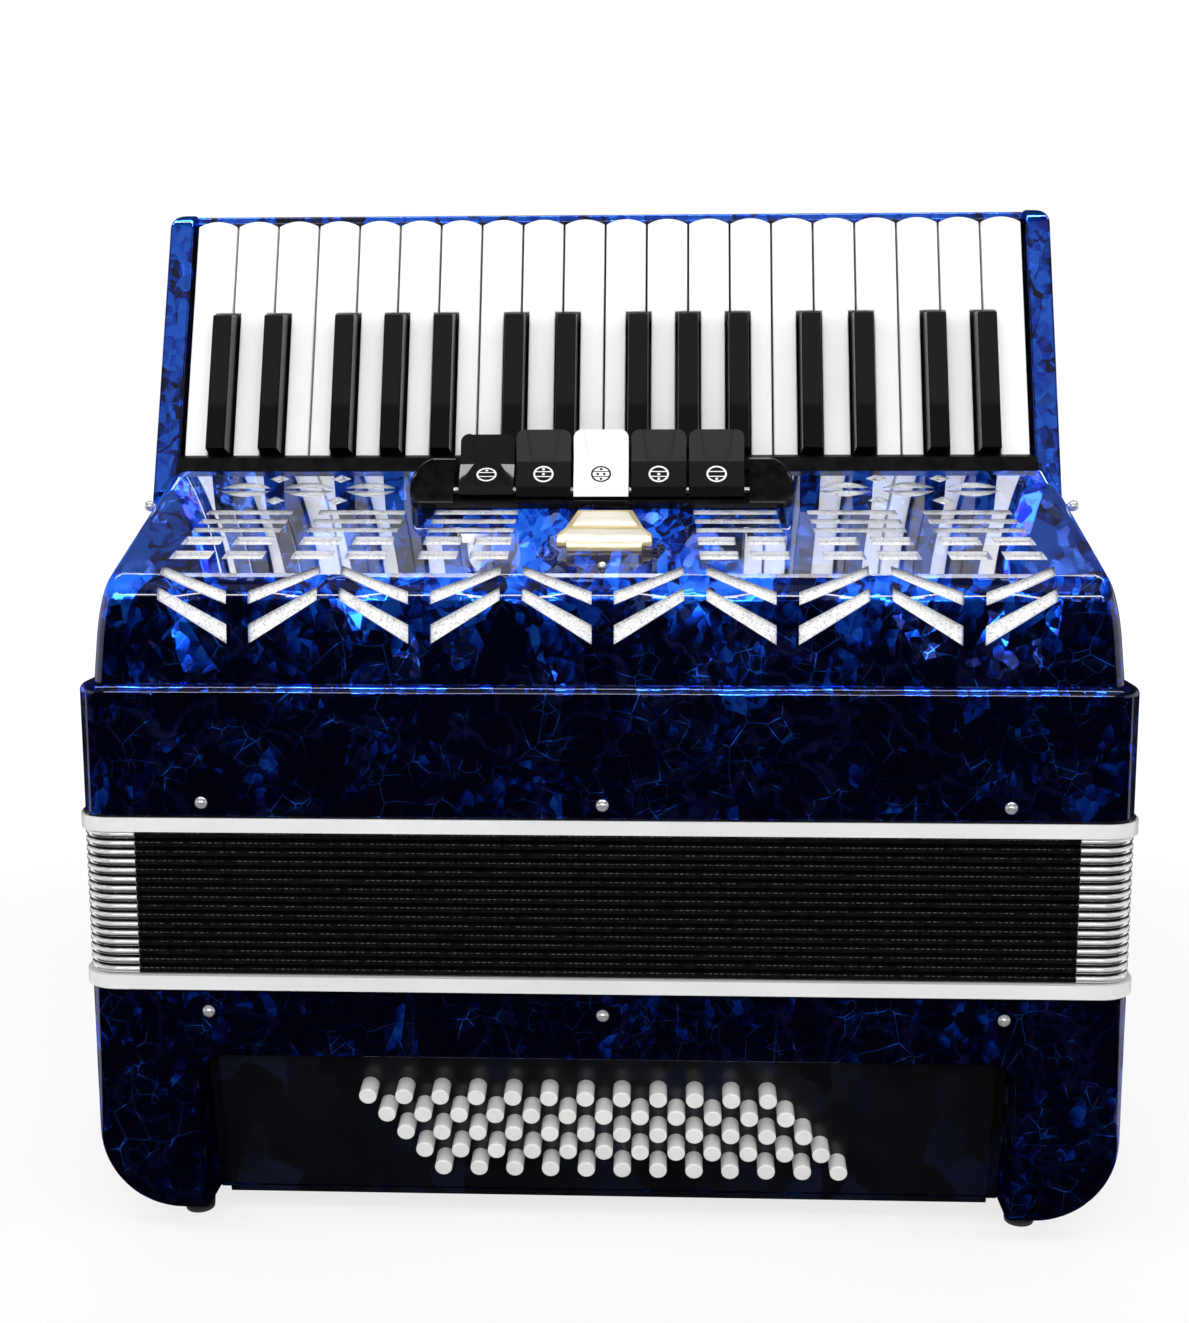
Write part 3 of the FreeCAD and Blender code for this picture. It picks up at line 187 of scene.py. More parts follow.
class Paint(Nodes):
    """A material made of one Principled shader, with millimetre coordinates."""

    def __init__(self, name, attribute=None, **constants):
        self.material = bpy.data.materials.new(name)
        super().__init__(emptied(self.material))
        values = {key.replace("_", " "): value for key, value in constants.items()}
        self.surface = self.add("ShaderNodeBsdfPrincipled", values=values)
        self.shader = self.tree.nodes[-1]
        self.add("ShaderNodeOutputMaterial", values={"Surface": self.surface})
        self.output = self.tree.nodes[-1]
        if attribute:
            place = self.add("ShaderNodeAttribute", {"attribute_name": attribute}, out="Vector")
        else:
            place = self.add("ShaderNodeTexCoord", out="Object")
        self.place = self.scaled(place, 1 / MM)

    def set(self, **links):
        for key, value in links.items():
            self.tree.links.new(value.link, self.shader.inputs[key.replace("_", " ")])
        return self

    def noise(self, scale, detail=2.0, vector=None, out=0, roughness=0.5):
        """Noise with features about 1 / scale millimetres apart."""
        values = {"Vector": vector or self.place, "Scale": scale, "Detail": detail,
                  "Roughness": roughness}
        return self.add("ShaderNodeTexNoise", {}, values, out)

    def cells(self, scale, vector=None, feature="F1", out="Color"):
        """Cells about 1 / scale millimetres across."""
        values = {"Vector": vector or self.place, "Scale": scale}
        return self.add("ShaderNodeTexVoronoi", {"feature": feature}, values, out)

    def turned(self, rotation, scale, vector=None):
        values = {"Vector": vector or self.place, "Rotation": rotation, "Scale": scale}
        return self.add("ShaderNodeMapping", {}, values)

    def brushed(self, scale, detail, stretch, rotation=(0.0, 0.0, 0.0)):
        """Noise drawn out into streaks."""
        return self.noise(scale, detail, self.turned(rotation, stretch))

    def warped(self, scale, reach):
        """The place, moved about by a noise."""
        return self.vector("ADD", self.place, self.scaled(self.noise(scale, out="Color"), reach))

    def bump(self, height, strength, distance):
        """Bump of a height in millimetres times distance."""
        values = {"Height": height, "Strength": strength, "Distance": distance * MM}
        return self.add("ShaderNodeBump", {}, values)

    def normal(self):
        return self.add("ShaderNodeNewGeometry", out="Normal")


# Finishes

NAVY = (0.0025, 0.004, 0.028)
DEEP = (0.003, 0.012, 0.16)
ROYAL = (0.002, 0.055, 0.62)
ELECTRIC = (0.02, 0.17, 1.0)
# Layers of flakes: scale, turn, stretch, share of the colour, and tilt
FLAKES = (
    (0.045, (0.5, 0.35, 0.8), (1.0, 0.5, 0.8), 0.30, 0.14),
    (0.10, (1.1, 0.2, -0.6), (1.0, 0.4, 0.7), 0.34, 0.16),
    (0.23, (0.3, 0.9, 0.4), (1.0, 0.45, 0.8), 0.26, 0.12),
)
# Layers of slivers: scale, width, and turn
SLIVERS = ((0.06, 0.012, (0.2, 1.2, 0.1)), (0.13, 0.02, (0.9, 0.3, 1.4)))
# Heights on the grille's front between which the celluloid grows lighter, as painted light from above
FRONT_DARK, FRONT_LIGHT = 4.0, 38.0
HALF_GREY = (0.5, 0.5, 0.5)


def pearl(name, lift=0.0, grille=False):
    """Celluloid with flakes that turn different ways, between dark veins, under a clear skin."""
    p = Paint(name, Coat_Roughness=0.02, Specular_Tint=(0.12, 0.25, 0.8, 1.0))
    moved = p.warped(0.02, 16.0)
    value, tilt = lift - 0.1, (0.0, 0.0, 0.0)
    for scale, rotation, stretch, share, turn in FLAKES:
        way = p.turned(rotation, stretch, moved)
        flake = p.cells(scale, way)
        random_way = p.vector("SUBTRACT", flake, HALF_GREY)
        across = p.vector("SUBTRACT", way, flake.out("Position"))
        slope = p.vector("DOT_PRODUCT", p.scaled(across, scale), random_way, out="Value")
        red, _, _ = p.parts(flake)
        value = value + (red + slope * 1.4) * share
        tilt = p.vector("ADD", tilt, p.scaled(random_way, turn))
    streaks = p.noise(0.5, 2.0, p.turned((0.6, 0.4, 0.9), (0.12, 1.0, 1.0), moved))
    value = value + p.noise(0.012) * 0.32 + streaks * 0.12
    vein = 1.0 - abs(p.noise(0.022, 4.0, moved, roughness=0.55) - 0.5).smooth(0.004, 0.022)
    value = value - vein * 0.3
    # Painted light: faces that look up are lighter, and so is the upper part of the grille's front, as
    # if lit from above
    _, _, up = p.parts(p.normal())
    up = up.smooth(0.03, 0.45)
    value = value + up * 0.35 - 0.23
    if grille:
        _, _, z = p.parts(p.place)
        value = value + (z - TREBLE_TOP).smooth(FRONT_DARK, FRONT_LIGHT) * (1.0 - up) * 0.3
    metal = 0.88 - (up * 0.75 if grille else 0.0)
    colour = p.ramp(value, (0.45, NAVY), (0.55, DEEP), (0.66, ROYAL), (0.84, ELECTRIC))
    for scale, width, rotation in SLIVERS:
        way = p.turned(rotation, (1.0, 0.35, 1.0), moved)
        shard = p.cells(scale, way, "DISTANCE_TO_EDGE", "Distance")
        here = 1.0 - shard.smooth(width * 0.2, width)
        thin = here * p.noise(scale * 0.5).smooth(0.5, 0.68)
        colour = p.mix(thin * 0.7, colour, ELECTRIC)
    normal = p.vector("NORMALIZE", p.vector("ADD", p.normal(), tilt))
    p.set(Base_Color=colour, Roughness=0.13 + vein * 0.1, Metallic=metal - vein * 0.3, Normal=normal,
          Coat_Weight=1.0 - p.add("ShaderNodeLayerWeight", out="Facing").smooth(0.5, 0.9))
    p.colour = colour
    return p


def slope_mask(p):
    """1 where the surface faces as the slope of the grille does."""
    _, _, up = p.parts(p.normal())
    return up.smooth(0.70, 0.765) * (1.0 - up.smooth(0.79, 0.83))


def depth_in_skin(p):
    """How far a point lies under the outer skin of the grille, in millimetres."""
    _, y, z = p.parts(p.place)
    sine, cosine = math.sin(SLOPE_ANGLE), math.cos(SLOPE_ANGLE)
    under_slope = (y - SLOPE_TOP_Y) * sine - (z - SLOPE_TOP_Z) * cosine
    front = math.atan(GRILLE_LEAN)
    behind_front = (y - GRILLE_FOOT_Y) * math.cos(front) - (z - TREBLE_TOP) * math.sin(front)
    # Near the shoulder the two depths meet round its radius
    a = (SHOULDER_RADIUS - under_slope).math("MAXIMUM", 0.0)
    b = (SHOULDER_RADIUS - behind_front).math("MAXIMUM", 0.0)
    along = math.cos(math.pi / 2 - SLOPE_ANGLE - front)
    reach = ((a * a + b * b - a * b * (2.0 * along)) / (1.0 - along * along)).math("SQRT")
    in_arc = (a > b * along) * (b > a * along)
    flat = under_slope.math("MINIMUM", behind_front)
    return flat * (1.0 - in_arc) + (SHOULDER_RADIUS - reach) * in_arc


# How far from the grille's ends its cut edges are silvered
SILVER_MARGIN = 9.0
# Where the skin's mirror starts beside the switches and where it is full, and its least share
PLATE_HALF, MIRROR_HALF, LEAST_MIRROR = 44.0, 60.0, 0.08


def grille_pearl(name):
    """Silvered cut edges, and a skin on the slope that is set flatter and mirrors the keys."""
    p = pearl(name, 0.02, grille=True)
    x, y, z = p.parts(p.place)
    on_slope = slope_mask(p)
    end = (HOOD_HALF - (z - TREBLE_TOP) * HOOD_LOW_LEAN
           - (z - TREBLE_TOP - HOOD_KNEE).math("MAXIMUM", 0.0) * KNEE_LEAN)
    cut = depth_in_skin(p).smooth(0.1, 0.18) * (abs(x) < end - SILVER_MARGIN)
    beside_switches = abs(x - KEY_SHIFT).smooth(PLATE_HALF, MIRROR_HALF)
    p.set(Base_Color=p.mix(cut, p.colour, (0.72, 0.73, 0.76)))
    down = (y * -1.0 + SLOPE_TOP_Y) / 50.0
    bend = p.joined(0.0, 0.167 + down * 0.059, 0.109 + down * 0.027)
    flatter = p.vector("NORMALIZE", p.vector("ADD", p.normal(), bend))
    cloud = p.noise(0.05)
    skin = p.add("ShaderNodeBsdfPrincipled", values={
        "Base Color": p.mix(cloud, (0.90, 0.94, 1.0), (0.98, 0.99, 1.0)), "Metallic": 1.0,
        "Roughness": 0.02, "Normal": flatter})
    mirror = on_slope * (beside_switches * 0.62 + LEAST_MIRROR) * (1.0 - cut)
    both = p.add("ShaderNodeMixShader", values={0: mirror, 1: p.surface, 2: skin})
    p.tree.links.new(both.link, p.output.inputs["Surface"])
    return p


def key_heights(p):
    """How far a point stands off the key tops, and how far it is towards their tips."""
    _, y, z = p.parts(p.place)
    sine, cosine = math.sin(KEY_LEAN), math.cos(KEY_LEAN)
    return ((y - KEY_BASE_Y) * -cosine + (z - KEY_BASE_Z) * sine,
            (y - KEY_BASE_Y) * sine + (z - KEY_BASE_Z) * cosine)


# The well behind the keys, from the key tops, and its half length
WELL_TOP, WELL_FLOOR, WELL_HALF = -7.1, -20.5, 189.0


def bed_pearl(name):
    """Pearl outside, and painted shade, near black, in the well behind the keys."""
    p = pearl(name, 0.17)
    x, _, _ = p.parts(p.place)
    above, _ = key_heights(p)
    # Painted shade: near black where shade falls in the well behind the keys
    well = ((1.0 - above.smooth(WELL_TOP - 0.1, WELL_TOP + 0.1))
            * above.smooth(WELL_FLOOR - 0.1, WELL_FLOOR + 0.1) * (abs(x - KEY_SHIFT) < WELL_HALF))
    p.set(Base_Color=p.mix(well, p.colour, (0.004, 0.004, 0.005)))
    return p


def guard_metal(name):
    """Plated strips with painted light: less metallic where they face up, so their upper half takes the
    lamps and looks bright, and dark below.
    """
    p = Paint(name, IOR=2.5)
    _, _, up = p.parts(p.normal())
    # Painted light: where the strips face up they are made less metallic, so they look lit
    bright = up.smooth(-0.25, 0.1) * (1.0 - up.smooth(0.75, 0.95))
    streaks = p.brushed(0.4, 3.0, (0.05, 1.0, 1.0))
    p.set(Base_Color=p.ramp(streaks, (0.3, (0.78, 0.79, 0.80)), (0.7, (0.90, 0.90, 0.91))),
          Roughness=0.08 + streaks * 0.05, Metallic=0.97 - bright * 0.6)
    return p


def pin_metal(name):
    """Plated heads of the pins and studs."""
    p = Paint(name, Metallic=0.65, IOR=2.5)
    streaks = p.brushed(0.4, 3.0, (0.05, 1.0, 1.0))
    p.set(Base_Color=p.ramp(streaks, (0.3, (0.72, 0.73, 0.75)), (0.7, (0.86, 0.87, 0.89))),
          Roughness=0.05 + streaks * 0.05)
    return p


def frame_white(name):
    """White plastic with a faint grain and a faintly cloudy tone."""
    p = Paint(name, Coat_Weight=0.25, Coat_Roughness=0.15)
    cloud = p.noise(0.02, 3.0)
    grain = p.noise(1.4)
    colour = p.ramp(cloud, (0.3, (0.655, 0.66, 0.665)), (0.7, (0.715, 0.72, 0.725)))
    p.set(Base_Color=colour, Roughness=0.32 + cloud * 0.12, Normal=p.bump(grain, 0.12, 0.06))
    return p


# Length of a stitch with its gap, where the row of stitches lies on a pleat, and the cloth's weave
STITCH_PITCH, STITCH_ROW, THREAD_COUNT = 2.4, 0.72, 5.2


def bellows_cloth(name):
    """Black cloth over card, with a stitched edge on each pleat."""
    p = Paint(name, attribute="rest", Specular_IOR_Level=0.04)
    x, y, z = p.parts(p.place)
    row = ((z - BELLOWS_LOW) / FOLD_PITCH).math("FRACT")
    on_side = (abs(x) - abs(y)) > HALF_LENGTH - HALF_DEPTH
    along = x * (1.0 - on_side) + y * on_side
    dash = (along / STITCH_PITCH).math("FRACT")
    patchy = p.noise(0.25, 3.0).smooth(0.35, 0.6)
    stitch = (abs(dash - 0.5) < 0.32) * (abs(row - STITCH_ROW) < 0.04) * patchy
    weave = (along * THREAD_COUNT).math("SINE") * (z * THREAD_COUNT).math("SINE") * 0.5 + 0.5
    wear = p.noise(0.35, 4.0)
    colour = p.ramp(wear, (0.35, (0.0015, 0.0015, 0.0017)), (0.8, (0.006, 0.006, 0.007)))
    colour = p.mix(stitch * 0.8, colour, (0.10, 0.10, 0.105))
    p.set(Base_Color=colour, Roughness=0.55 + weave * 0.2,
          Normal=p.bump(weave * 0.25 + stitch, 0.6, 0.12))
    return p


# Top of the keys' levers, from the key tops
LEVER_TOP = -12.4


def white_key_finish(name):
    """White plastic, and bare metal on the lever below."""
    p = Paint(name, Coat_Weight=0.5, Coat_Roughness=0.04)
    above, _ = key_heights(p)
    cloud = p.noise(0.03)
    colour = p.ramp(cloud, (0.3, (0.89, 0.89, 0.885)), (0.7, (0.92, 0.92, 0.92)))
    lever = 1.0 - above.smooth(LEVER_TOP - 0.2, LEVER_TOP + 0.2)
    colour = p.mix(lever, colour, (0.46, 0.45, 0.43))
    p.set(Base_Color=colour, Roughness=0.2 + cloud * 0.06 + lever * 0.2, Metallic=lever * 0.9)
    return p


def black_key_finish(name):
    """Charcoal plastic, with a painted reflection that makes the key tops lighter towards their tips."""
    p = Paint(name, Coat_Weight=0.4, Coat_Roughness=0.03, Coat_IOR=1.35, Specular_IOR_Level=0.05)
    above, along = key_heights(p)
    grain = p.noise(0.9, 3.0)
    # Painted reflection: the tops are lighter towards the tips
    painted_reflection = along.smooth(19.0, 22.0) * above.smooth(8.0, 9.6)
    colour = p.mix(painted_reflection * 0.9, (0.0025, 0.0025, 0.003), (0.008, 0.0085, 0.010))
    p.set(Base_Color=colour, Roughness=0.28 + grain * 0.12, Normal=p.bump(grain, 0.15, 0.05))
    return p


def gloss_black(name):
    """Polished black plastic with fine haze."""
    p = Paint(name, Coat_Weight=0.8, Coat_Roughness=0.03, Specular_IOR_Level=0.1)
    haze = p.noise(0.2, 3.0)
    p.set(Base_Color=p.ramp(haze, (0.35, (0.004, 0.004, 0.005)), (0.7, (0.012, 0.012, 0.014))),
          Roughness=0.06 + haze * 0.08)
    return p


def rail_black(name):
    """Polished plate on the slope, and a satin rail behind it."""
    p = Paint(name, Coat_Roughness=0.03, Specular_IOR_Level=0.05)
    _, y, _ = p.parts(p.place)
    rail = y > SLOPE_TOP_Y + 0.1
    haze = p.noise(0.2, 3.0)
    p.set(Base_Color=p.ramp(haze, (0.35, (0.002, 0.002, 0.002)), (0.7, (0.007, 0.007, 0.008))),
          Roughness=0.06 + haze * 0.06 + rail * 0.34, Coat_Weight=0.8 - rail * 0.75)
    return p


def moulded_black(name):
    """Black plastic with a moulded grain."""
    p = Paint(name)
    grain = p.cells(1.1, out="Distance")
    cloud = p.noise(0.05)
    p.set(Base_Color=p.mix(cloud, (0.0108, 0.0108, 0.0108), (0.0234, 0.0234, 0.0234)),
          Roughness=0.42 + grain * 0.15, Normal=p.bump(grain, 0.35, 0.12))
    return p


def board_finish(name):
    """Dark board with a few faint blue flakes."""
    p = Paint(name, Coat_Weight=0.2, Coat_Roughness=0.12, Specular_IOR_Level=0.35)
    moved = p.warped(0.05, 14.0)
    red, green, _ = p.parts(p.cells(0.07, p.turned((0.4, 0.2, 0.6), (1.0, 0.5, 0.7), moved)))
    value = red * 0.5 + p.noise(0.03, 3.0) * 0.5
    colour = p.ramp(value, (0.45, (0.0025, 0.003, 0.005)), (0.62, (0.003, 0.004, 0.009)),
                    (0.85, (0.003, 0.007, 0.028)))
    p.set(Base_Color=colour, Roughness=0.3 + green * 0.15)
    return p


def button_finish(name):
    """Light grey plastic."""
    p = Paint(name, Coat_Weight=0.4, Coat_Roughness=0.08)
    tone = p.noise(0.08)
    colour = p.ramp(tone, (0.3, (0.70, 0.695, 0.68)), (0.7, (0.78, 0.775, 0.76)))
    p.set(Base_Color=colour, Roughness=0.25 + tone * 0.08)
    return p


def leather(name):
    """Black leather with pores and creases."""
    p = Paint(name, attribute="rest")
    pores = p.cells(1.3, p.warped(0.5, 1.2), "DISTANCE_TO_EDGE", "Distance")
    cloud = p.noise(0.05, 3.0)
    colour = p.ramp(cloud, (0.3, (0.011, 0.0095, 0.009)), (0.7, (0.03, 0.026, 0.024)))
    p.set(Base_Color=colour, Roughness=0.42 + cloud * 0.2,
          Normal=p.bump(pores.smooth(0.0, 0.16), 0.5, 0.15))
    return p


def thread(name):
    """Twisted dark thread."""
    p = Paint(name, Sheen_Weight=0.3)
    twist = p.noise(3.0, 1.0)
    p.set(Base_Color=p.mix(twist, (0.09, 0.085, 0.08), (0.054, 0.051, 0.048)),
          Roughness=0.6 + twist * 0.2)
    return p


def rubber(name):
    """Black rubber with fine moulded rings."""
    p = Paint(name)
    _, _, z = p.parts(p.place)
    ring = (z * 2.4).math("SINE") * 0.5 + 0.5
    grain = p.noise(1.5)
    p.set(Base_Color=p.mix(grain, (0.010, 0.010, 0.010), (0.022, 0.022, 0.022)),
          Roughness=0.6 + grain * 0.2, Normal=p.bump(ring * 0.4 + grain * 0.3, 0.3, 0.2))
    return p


def wood(name):
    """Bare reed wood with its growth rings."""
    p = Paint(name)
    rings = p.brushed(0.06, 4.0, (0.12, 1.0, 1.0))
    grain = (rings * 60.0).math("SINE") * 0.5 + 0.5
    colour = p.mix(grain, (0.45, 0.28, 0.14), (0.62, 0.43, 0.24))
    p.set(Base_Color=colour, Roughness=0.5 + grain * 0.15)
    return p


def steel(name):
    """Steel rod with turning marks round it."""
    p = Paint(name, Metallic=1.0)
    turn_marks = p.brushed(2.0, 2.0, (1.0, 0.1, 0.1))
    p.set(Base_Color=p.mix(turn_marks, (0.42, 0.42, 0.44), (0.6, 0.6, 0.62)),
          Roughness=0.22 + turn_marks * 0.15)
    return p


def foil(name):
    """Crinkled silver foil with bright grains."""
    p = Paint(name, Metallic=0.05)
    grains = p.cells(2.2)
    creases = p.cells(0.12, p.warped(0.1, 8.0))
    red, _, _ = p.parts(grains)
    normal = p.normal()
    for cells, tilt in ((grains, 0.5), (creases, 0.25)):
        normal = p.vector("ADD", normal, p.scaled(p.vector("SUBTRACT", cells, HALF_GREY), tilt))
    colour = p.ramp(red, (0.08, (0.60, 0.61, 0.64)), (0.18, (0.96, 0.96, 0.97)),
                    (1.0, (0.99, 0.99, 0.99)))
    p.set(Base_Color=colour, Roughness=0.25 + red * 0.2, Normal=p.vector("NORMALIZE", normal))
    return p


def brass(name, low, high, metallic):
    """Brushed brass between two tones."""
    p = Paint(name, Metallic=metallic)
    brush = p.brushed(0.8, 3.0, (0.08, 1.0, 1.0), (0.0, 0.0, 0.3))
    p.set(Base_Color=p.ramp(brush, (0.3, low), (0.7, high)), Roughness=0.16 + brush * 0.14)
    return p


# Switches: a circle with lines and dots, drawn on each sloping face

SYMBOL_RADIUS, SYMBOL_HEIGHT = 3.9, 3.3
# Width of the lines, place of the two bars, and radius of the dots, as shares of the radius
SYMBOL_LINE, SYMBOL_BAR, SYMBOL_DOT = 0.09, 0.33, 0.16
SWITCH_PIVOT_RUN, SWITCH_PIVOT_RISE = -17.5, 4.5
# Sloping face of a switch, from its foot to its knee, as (y, z) from the pivot
FACE_LOW, FACE_HIGH = (-2.5, 1.6), (1.9, 12.0)
PRESS_ANGLE = math.radians(-18.0)
# Dots of each switch, as (x, up) from the middle of its circle
SYMBOL_DOTS = (
    ((0.0, 0.66),),
    ((0.0, 0.66), (0.0, 0.0)),
    ((-0.35, 0.0), (0.35, 0.0), (0.0, 0.66), (0.0, -0.66)),
    ((0.0, 0.0), (0.0, -0.66)),
    ((0.0, -0.66),),
)
PRESSED_SWITCH, MIDDLE_SWITCH = 1, 3


def slope_place(t, h):
    """The (y, z) of a place on the slope, t up along it and h above it."""
    return (SLOPE_TOP_Y + t * math.cos(SLOPE_ANGLE) - h * math.sin(SLOPE_ANGLE),
            SLOPE_TOP_Z + t * math.sin(SLOPE_ANGLE) + h * math.cos(SLOPE_ANGLE))


def switch_finish(name, number, face, ink):
    """Glossy plastic, lighter in the scoop of its face as a painted reflection, with its symbol below.
    """
    p = Paint(name, Coat_Weight=0.4, Coat_Roughness=0.03, Specular_IOR_Level=0.1)
    x, y, z = p.parts(p.place)
    pivot_y, pivot_z = slope_place(SWITCH_PIVOT_RUN, SWITCH_PIVOT_RISE)
    turn = PRESS_ANGLE if number == PRESSED_SWITCH else 0.0
    lean = math.atan2(FACE_HIGH[0] - FACE_LOW[0], FACE_HIGH[1] - FACE_LOW[1]) - turn
    middle = [(a + b) / 2 for a, b in zip(FACE_LOW, FACE_HIGH)]
    centre_y = pivot_y + middle[0] * math.cos(turn) - middle[1] * math.sin(turn)
    centre_z = pivot_z + middle[0] * math.sin(turn) + middle[1] * math.cos(turn)
    across = (x - (KEY_SHIFT + (number - MIDDLE_SWITCH) * REGISTER_PITCH)) / SYMBOL_RADIUS
    along = ((y - centre_y) * math.sin(lean) + (z - centre_z) * math.cos(lean)) / SYMBOL_HEIGHT
    from_middle = (across * across + along * along).math("SQRT")
    inside = 1.0 - from_middle.smooth(1.0, 1.03)
    ring = 1.0 - abs(from_middle - 1.0).smooth(SYMBOL_LINE * 0.9, SYMBOL_LINE * 1.3)
    bars = 1.0 - abs(abs(along) - SYMBOL_BAR).smooth(SYMBOL_LINE * 0.5, SYMBOL_LINE * 0.9)
    marks = bars * inside
    for dot_x, dot_up in SYMBOL_DOTS[number - 1]:
        dx, du = across - dot_x, along - dot_up
        from_dot = (dx * dx + du * du).math("SQRT")
        dot = 1.0 - from_dot.smooth(SYMBOL_DOT - 0.02, SYMBOL_DOT + 0.02)
        marks = marks.math("MAXIMUM", dot)
    shape = ring.math("MAXIMUM", marks)
    _, front, _ = p.parts(p.normal())
    shape = shape * (front < -0.4)
    haze = p.noise(0.15, 3.0)
    # Painted reflection: the scoop in the upper half of the face is lighter
    scoop = (1.0 - front.smooth(-0.99, -0.97)) * ((z - centre_z) > (FACE_HIGH[1] - FACE_LOW[1]) / 2)
    ground = p.mix(scoop * 0.5, face, tuple(0.06 + 0.94 * c for c in face))
    p.set(Base_Color=p.mix(shape, ground, ink), Roughness=0.08 + haze * 0.1)
    return p


# Paints for the model's own nodes

paints = {
    "pearl": pearl("pearl_celluloid"),
    "pearl_low": pearl("pearl_bass", lift=-0.02),
    "pearl_cheek": bed_pearl("pearl_cheeks"),
    "pearl_grille": grille_pearl("pearl_grille"),
    "guard": guard_metal("guard_chrome"),
    "pin": pin_metal("pin_chrome"),
    "white": frame_white("frame_white"),
    "cloth": bellows_cloth("bellows_cloth"),
    "white_key": white_key_finish("key_white"),
    "black_key": black_key_finish("key_black"),
    "gloss": gloss_black("gloss_black"),
    "rail": rail_black("rail_black"),
    "plate": moulded_black("black_plastic"),
    "board": board_finish("board_black"),
    "button": button_finish("button_ivory"),
    "leather": leather("strap_leather"),
    "thread": thread("strap_thread"),
    "rubber": rubber("foot_rubber"),
    "wood": wood("reed_wood"),
    "steel": steel("axle_steel"),
    "foil": foil("grille_foil"),
    "brass": brass("badge_brass", (0.80, 0.62, 0.30), (0.96, 0.84, 0.52), 0.5),
    "pale_brass": brass("badge_pale_brass", (0.78, 0.72, 0.58), (0.88, 0.85, 0.76), 0.1),
}
node_paints = {
    "bass_case": "pearl_low", "bass_button_board": "board", "bass_palm_plate": "plate",
    "bass_note_buttons": "button", "bass_chord_buttons": "button", "air_button": "button",
    "bass_strap": "leather", "rubber_feet": "rubber", "bass_pins": "pin", "bass_reed_block": "wood",
    "bass_frame": "white", "bellows_folds": "cloth", "bellows_corners": "guard",
    "treble_frame": "white", "treble_case": "pearl", "treble_grille": "pearl_grille",
    "treble_reed_blocks": "wood", "treble_fittings": "pin", "pivot_rods": "steel",
    "keyboard_bed": "pearl_cheek", "rail_and_register_plate": "rail",
}
# Face and ink of the white switch and of the black ones
WHITE_SWITCH = ((0.86, 0.86, 0.86), (0.01, 0.01, 0.01))
BLACK_SWITCH = ((0.006, 0.006, 0.007), (0.88, 0.88, 0.88))


def dress(node, paint):
    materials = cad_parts[node].data.materials
    materials.clear()
    materials.append(paint.material)


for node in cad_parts:
    if node.startswith("key_"):
        is_sharp = "s" in node[len("key_"):]
        dress(node, paints["black_key" if is_sharp else "white_key"])
    elif node.startswith("register_"):
        number = int(node[-1])
        tones = WHITE_SWITCH if number == MIDDLE_SWITCH else BLACK_SWITCH
        dress(node, switch_finish(f"switch_{number}", number, *tones))
    else:
        dress(node, paints[node_paints[node]])


# Making pieces

def piece(name, mesh, paint, smooth_angle):
    """Object at the origin with its place in its mesh, sharp where its faces meet at a larger angle."""
    obj = bpy.data.objects.new(name, mesh)
    scene.collection.objects.link(obj)
    mesh.name = name
    mesh.materials.clear()
    mesh.materials.append(paints[paint].material)
    mesh.set_sharp_from_angle(angle=math.radians(smooth_angle))
    return obj


def mesh_of(name, points, faces):
    """Mesh of points in millimetres."""
    mesh = bpy.data.meshes.new(name)
    mesh.from_pydata([tuple(c * MM for c in p) for p in points], [], faces)
    mesh.update()
    return mesh


def keep_rest(mesh):
    """Keep the resting place of each point, for patterns on pieces that bend."""
    attribute = mesh.attributes.new("rest", "FLOAT_VECTOR", "POINT")
    attribute.data.foreach_set("vector", [c for v in mesh.vertices for c in v.co])


def wire(name, splines, cyclic):
    """Curve of straight-sided splines through points in millimetres."""
    curve = bpy.data.curves.new(name, "CURVE")
    curve.dimensions = "3D"
    for points in splines:
        spline = curve.splines.new("POLY")
        spline.points.add(len(points) - 1)
        for point, place in zip(spline.points, points):
            point.co = (*[c * MM for c in place], 1.0)
        spline.use_cyclic_u = cyclic
    return curve


def grown(name, base, build, sizes, paint):
    """Mesh that a geometry tree makes on a base curve, with named sizes as its inputs."""
    tree = bpy.data.node_groups.new(name + "_tree", "GeometryNodeTree")
    for way in ("INPUT", "OUTPUT"):
        tree.interface.new_socket("Geometry", in_out=way, socket_type="NodeSocketGeometry")
    sockets = {key: tree.interface.new_socket(key, in_out="INPUT", socket_type="NodeSocketFloat")
               for key in sizes}
    nodes = Nodes(tree)
    start = nodes.add("NodeGroupInput")
    shape = build(nodes, start, {key: start.out(key) for key in sizes})
    shape = nodes.add("GeometryNodeRealizeInstances", values={0: shape})
    shape = nodes.add("GeometryNodeSetMaterial",
                      values={"Geometry": shape, "Material": paints[paint].material})
    nodes.add("NodeGroupOutput", values={0: shape})
    obj = bpy.data.objects.new(name + "_base", base)
    scene.collection.objects.link(obj)
    modifier = obj.modifiers.new("Shape", "NODES")
    modifier.node_group = tree
    for key, value in sizes.items():
        modifier[sockets[key].identifier] = value
    made = obj.evaluated_get(bpy.context.evaluated_depsgraph_get())
    mesh = bpy.data.meshes.new_from_object(made)
    obj.modifiers.clear()
    bpy.data.objects.remove(obj)
    return mesh


def corner_arc(quarter, half_x, half_y, radius, z):
    """Points round one corner of a rounded rectangle, anticlockwise seen from above."""
    sx, sy = CORNERS[quarter]
    points = []
    for i in range(CORNER_STEPS + 1):
        a = math.radians(90.0 * (quarter + i / CORNER_STEPS))
        points.append((sx * (half_x - radius) + radius * math.cos(a),
                       sy * (half_y - radius) + radius * math.sin(a), z))
    return points


def rounded_path(outwards, z):
    """Points of the body's plan, moved outwards."""
    sizes = (HALF_LENGTH + outwards, HALF_DEPTH + outwards, PLAN_RADIUS + outwards)
    return [point for quarter in range(len(CORNERS)) for point in corner_arc(quarter, *sizes, z)]


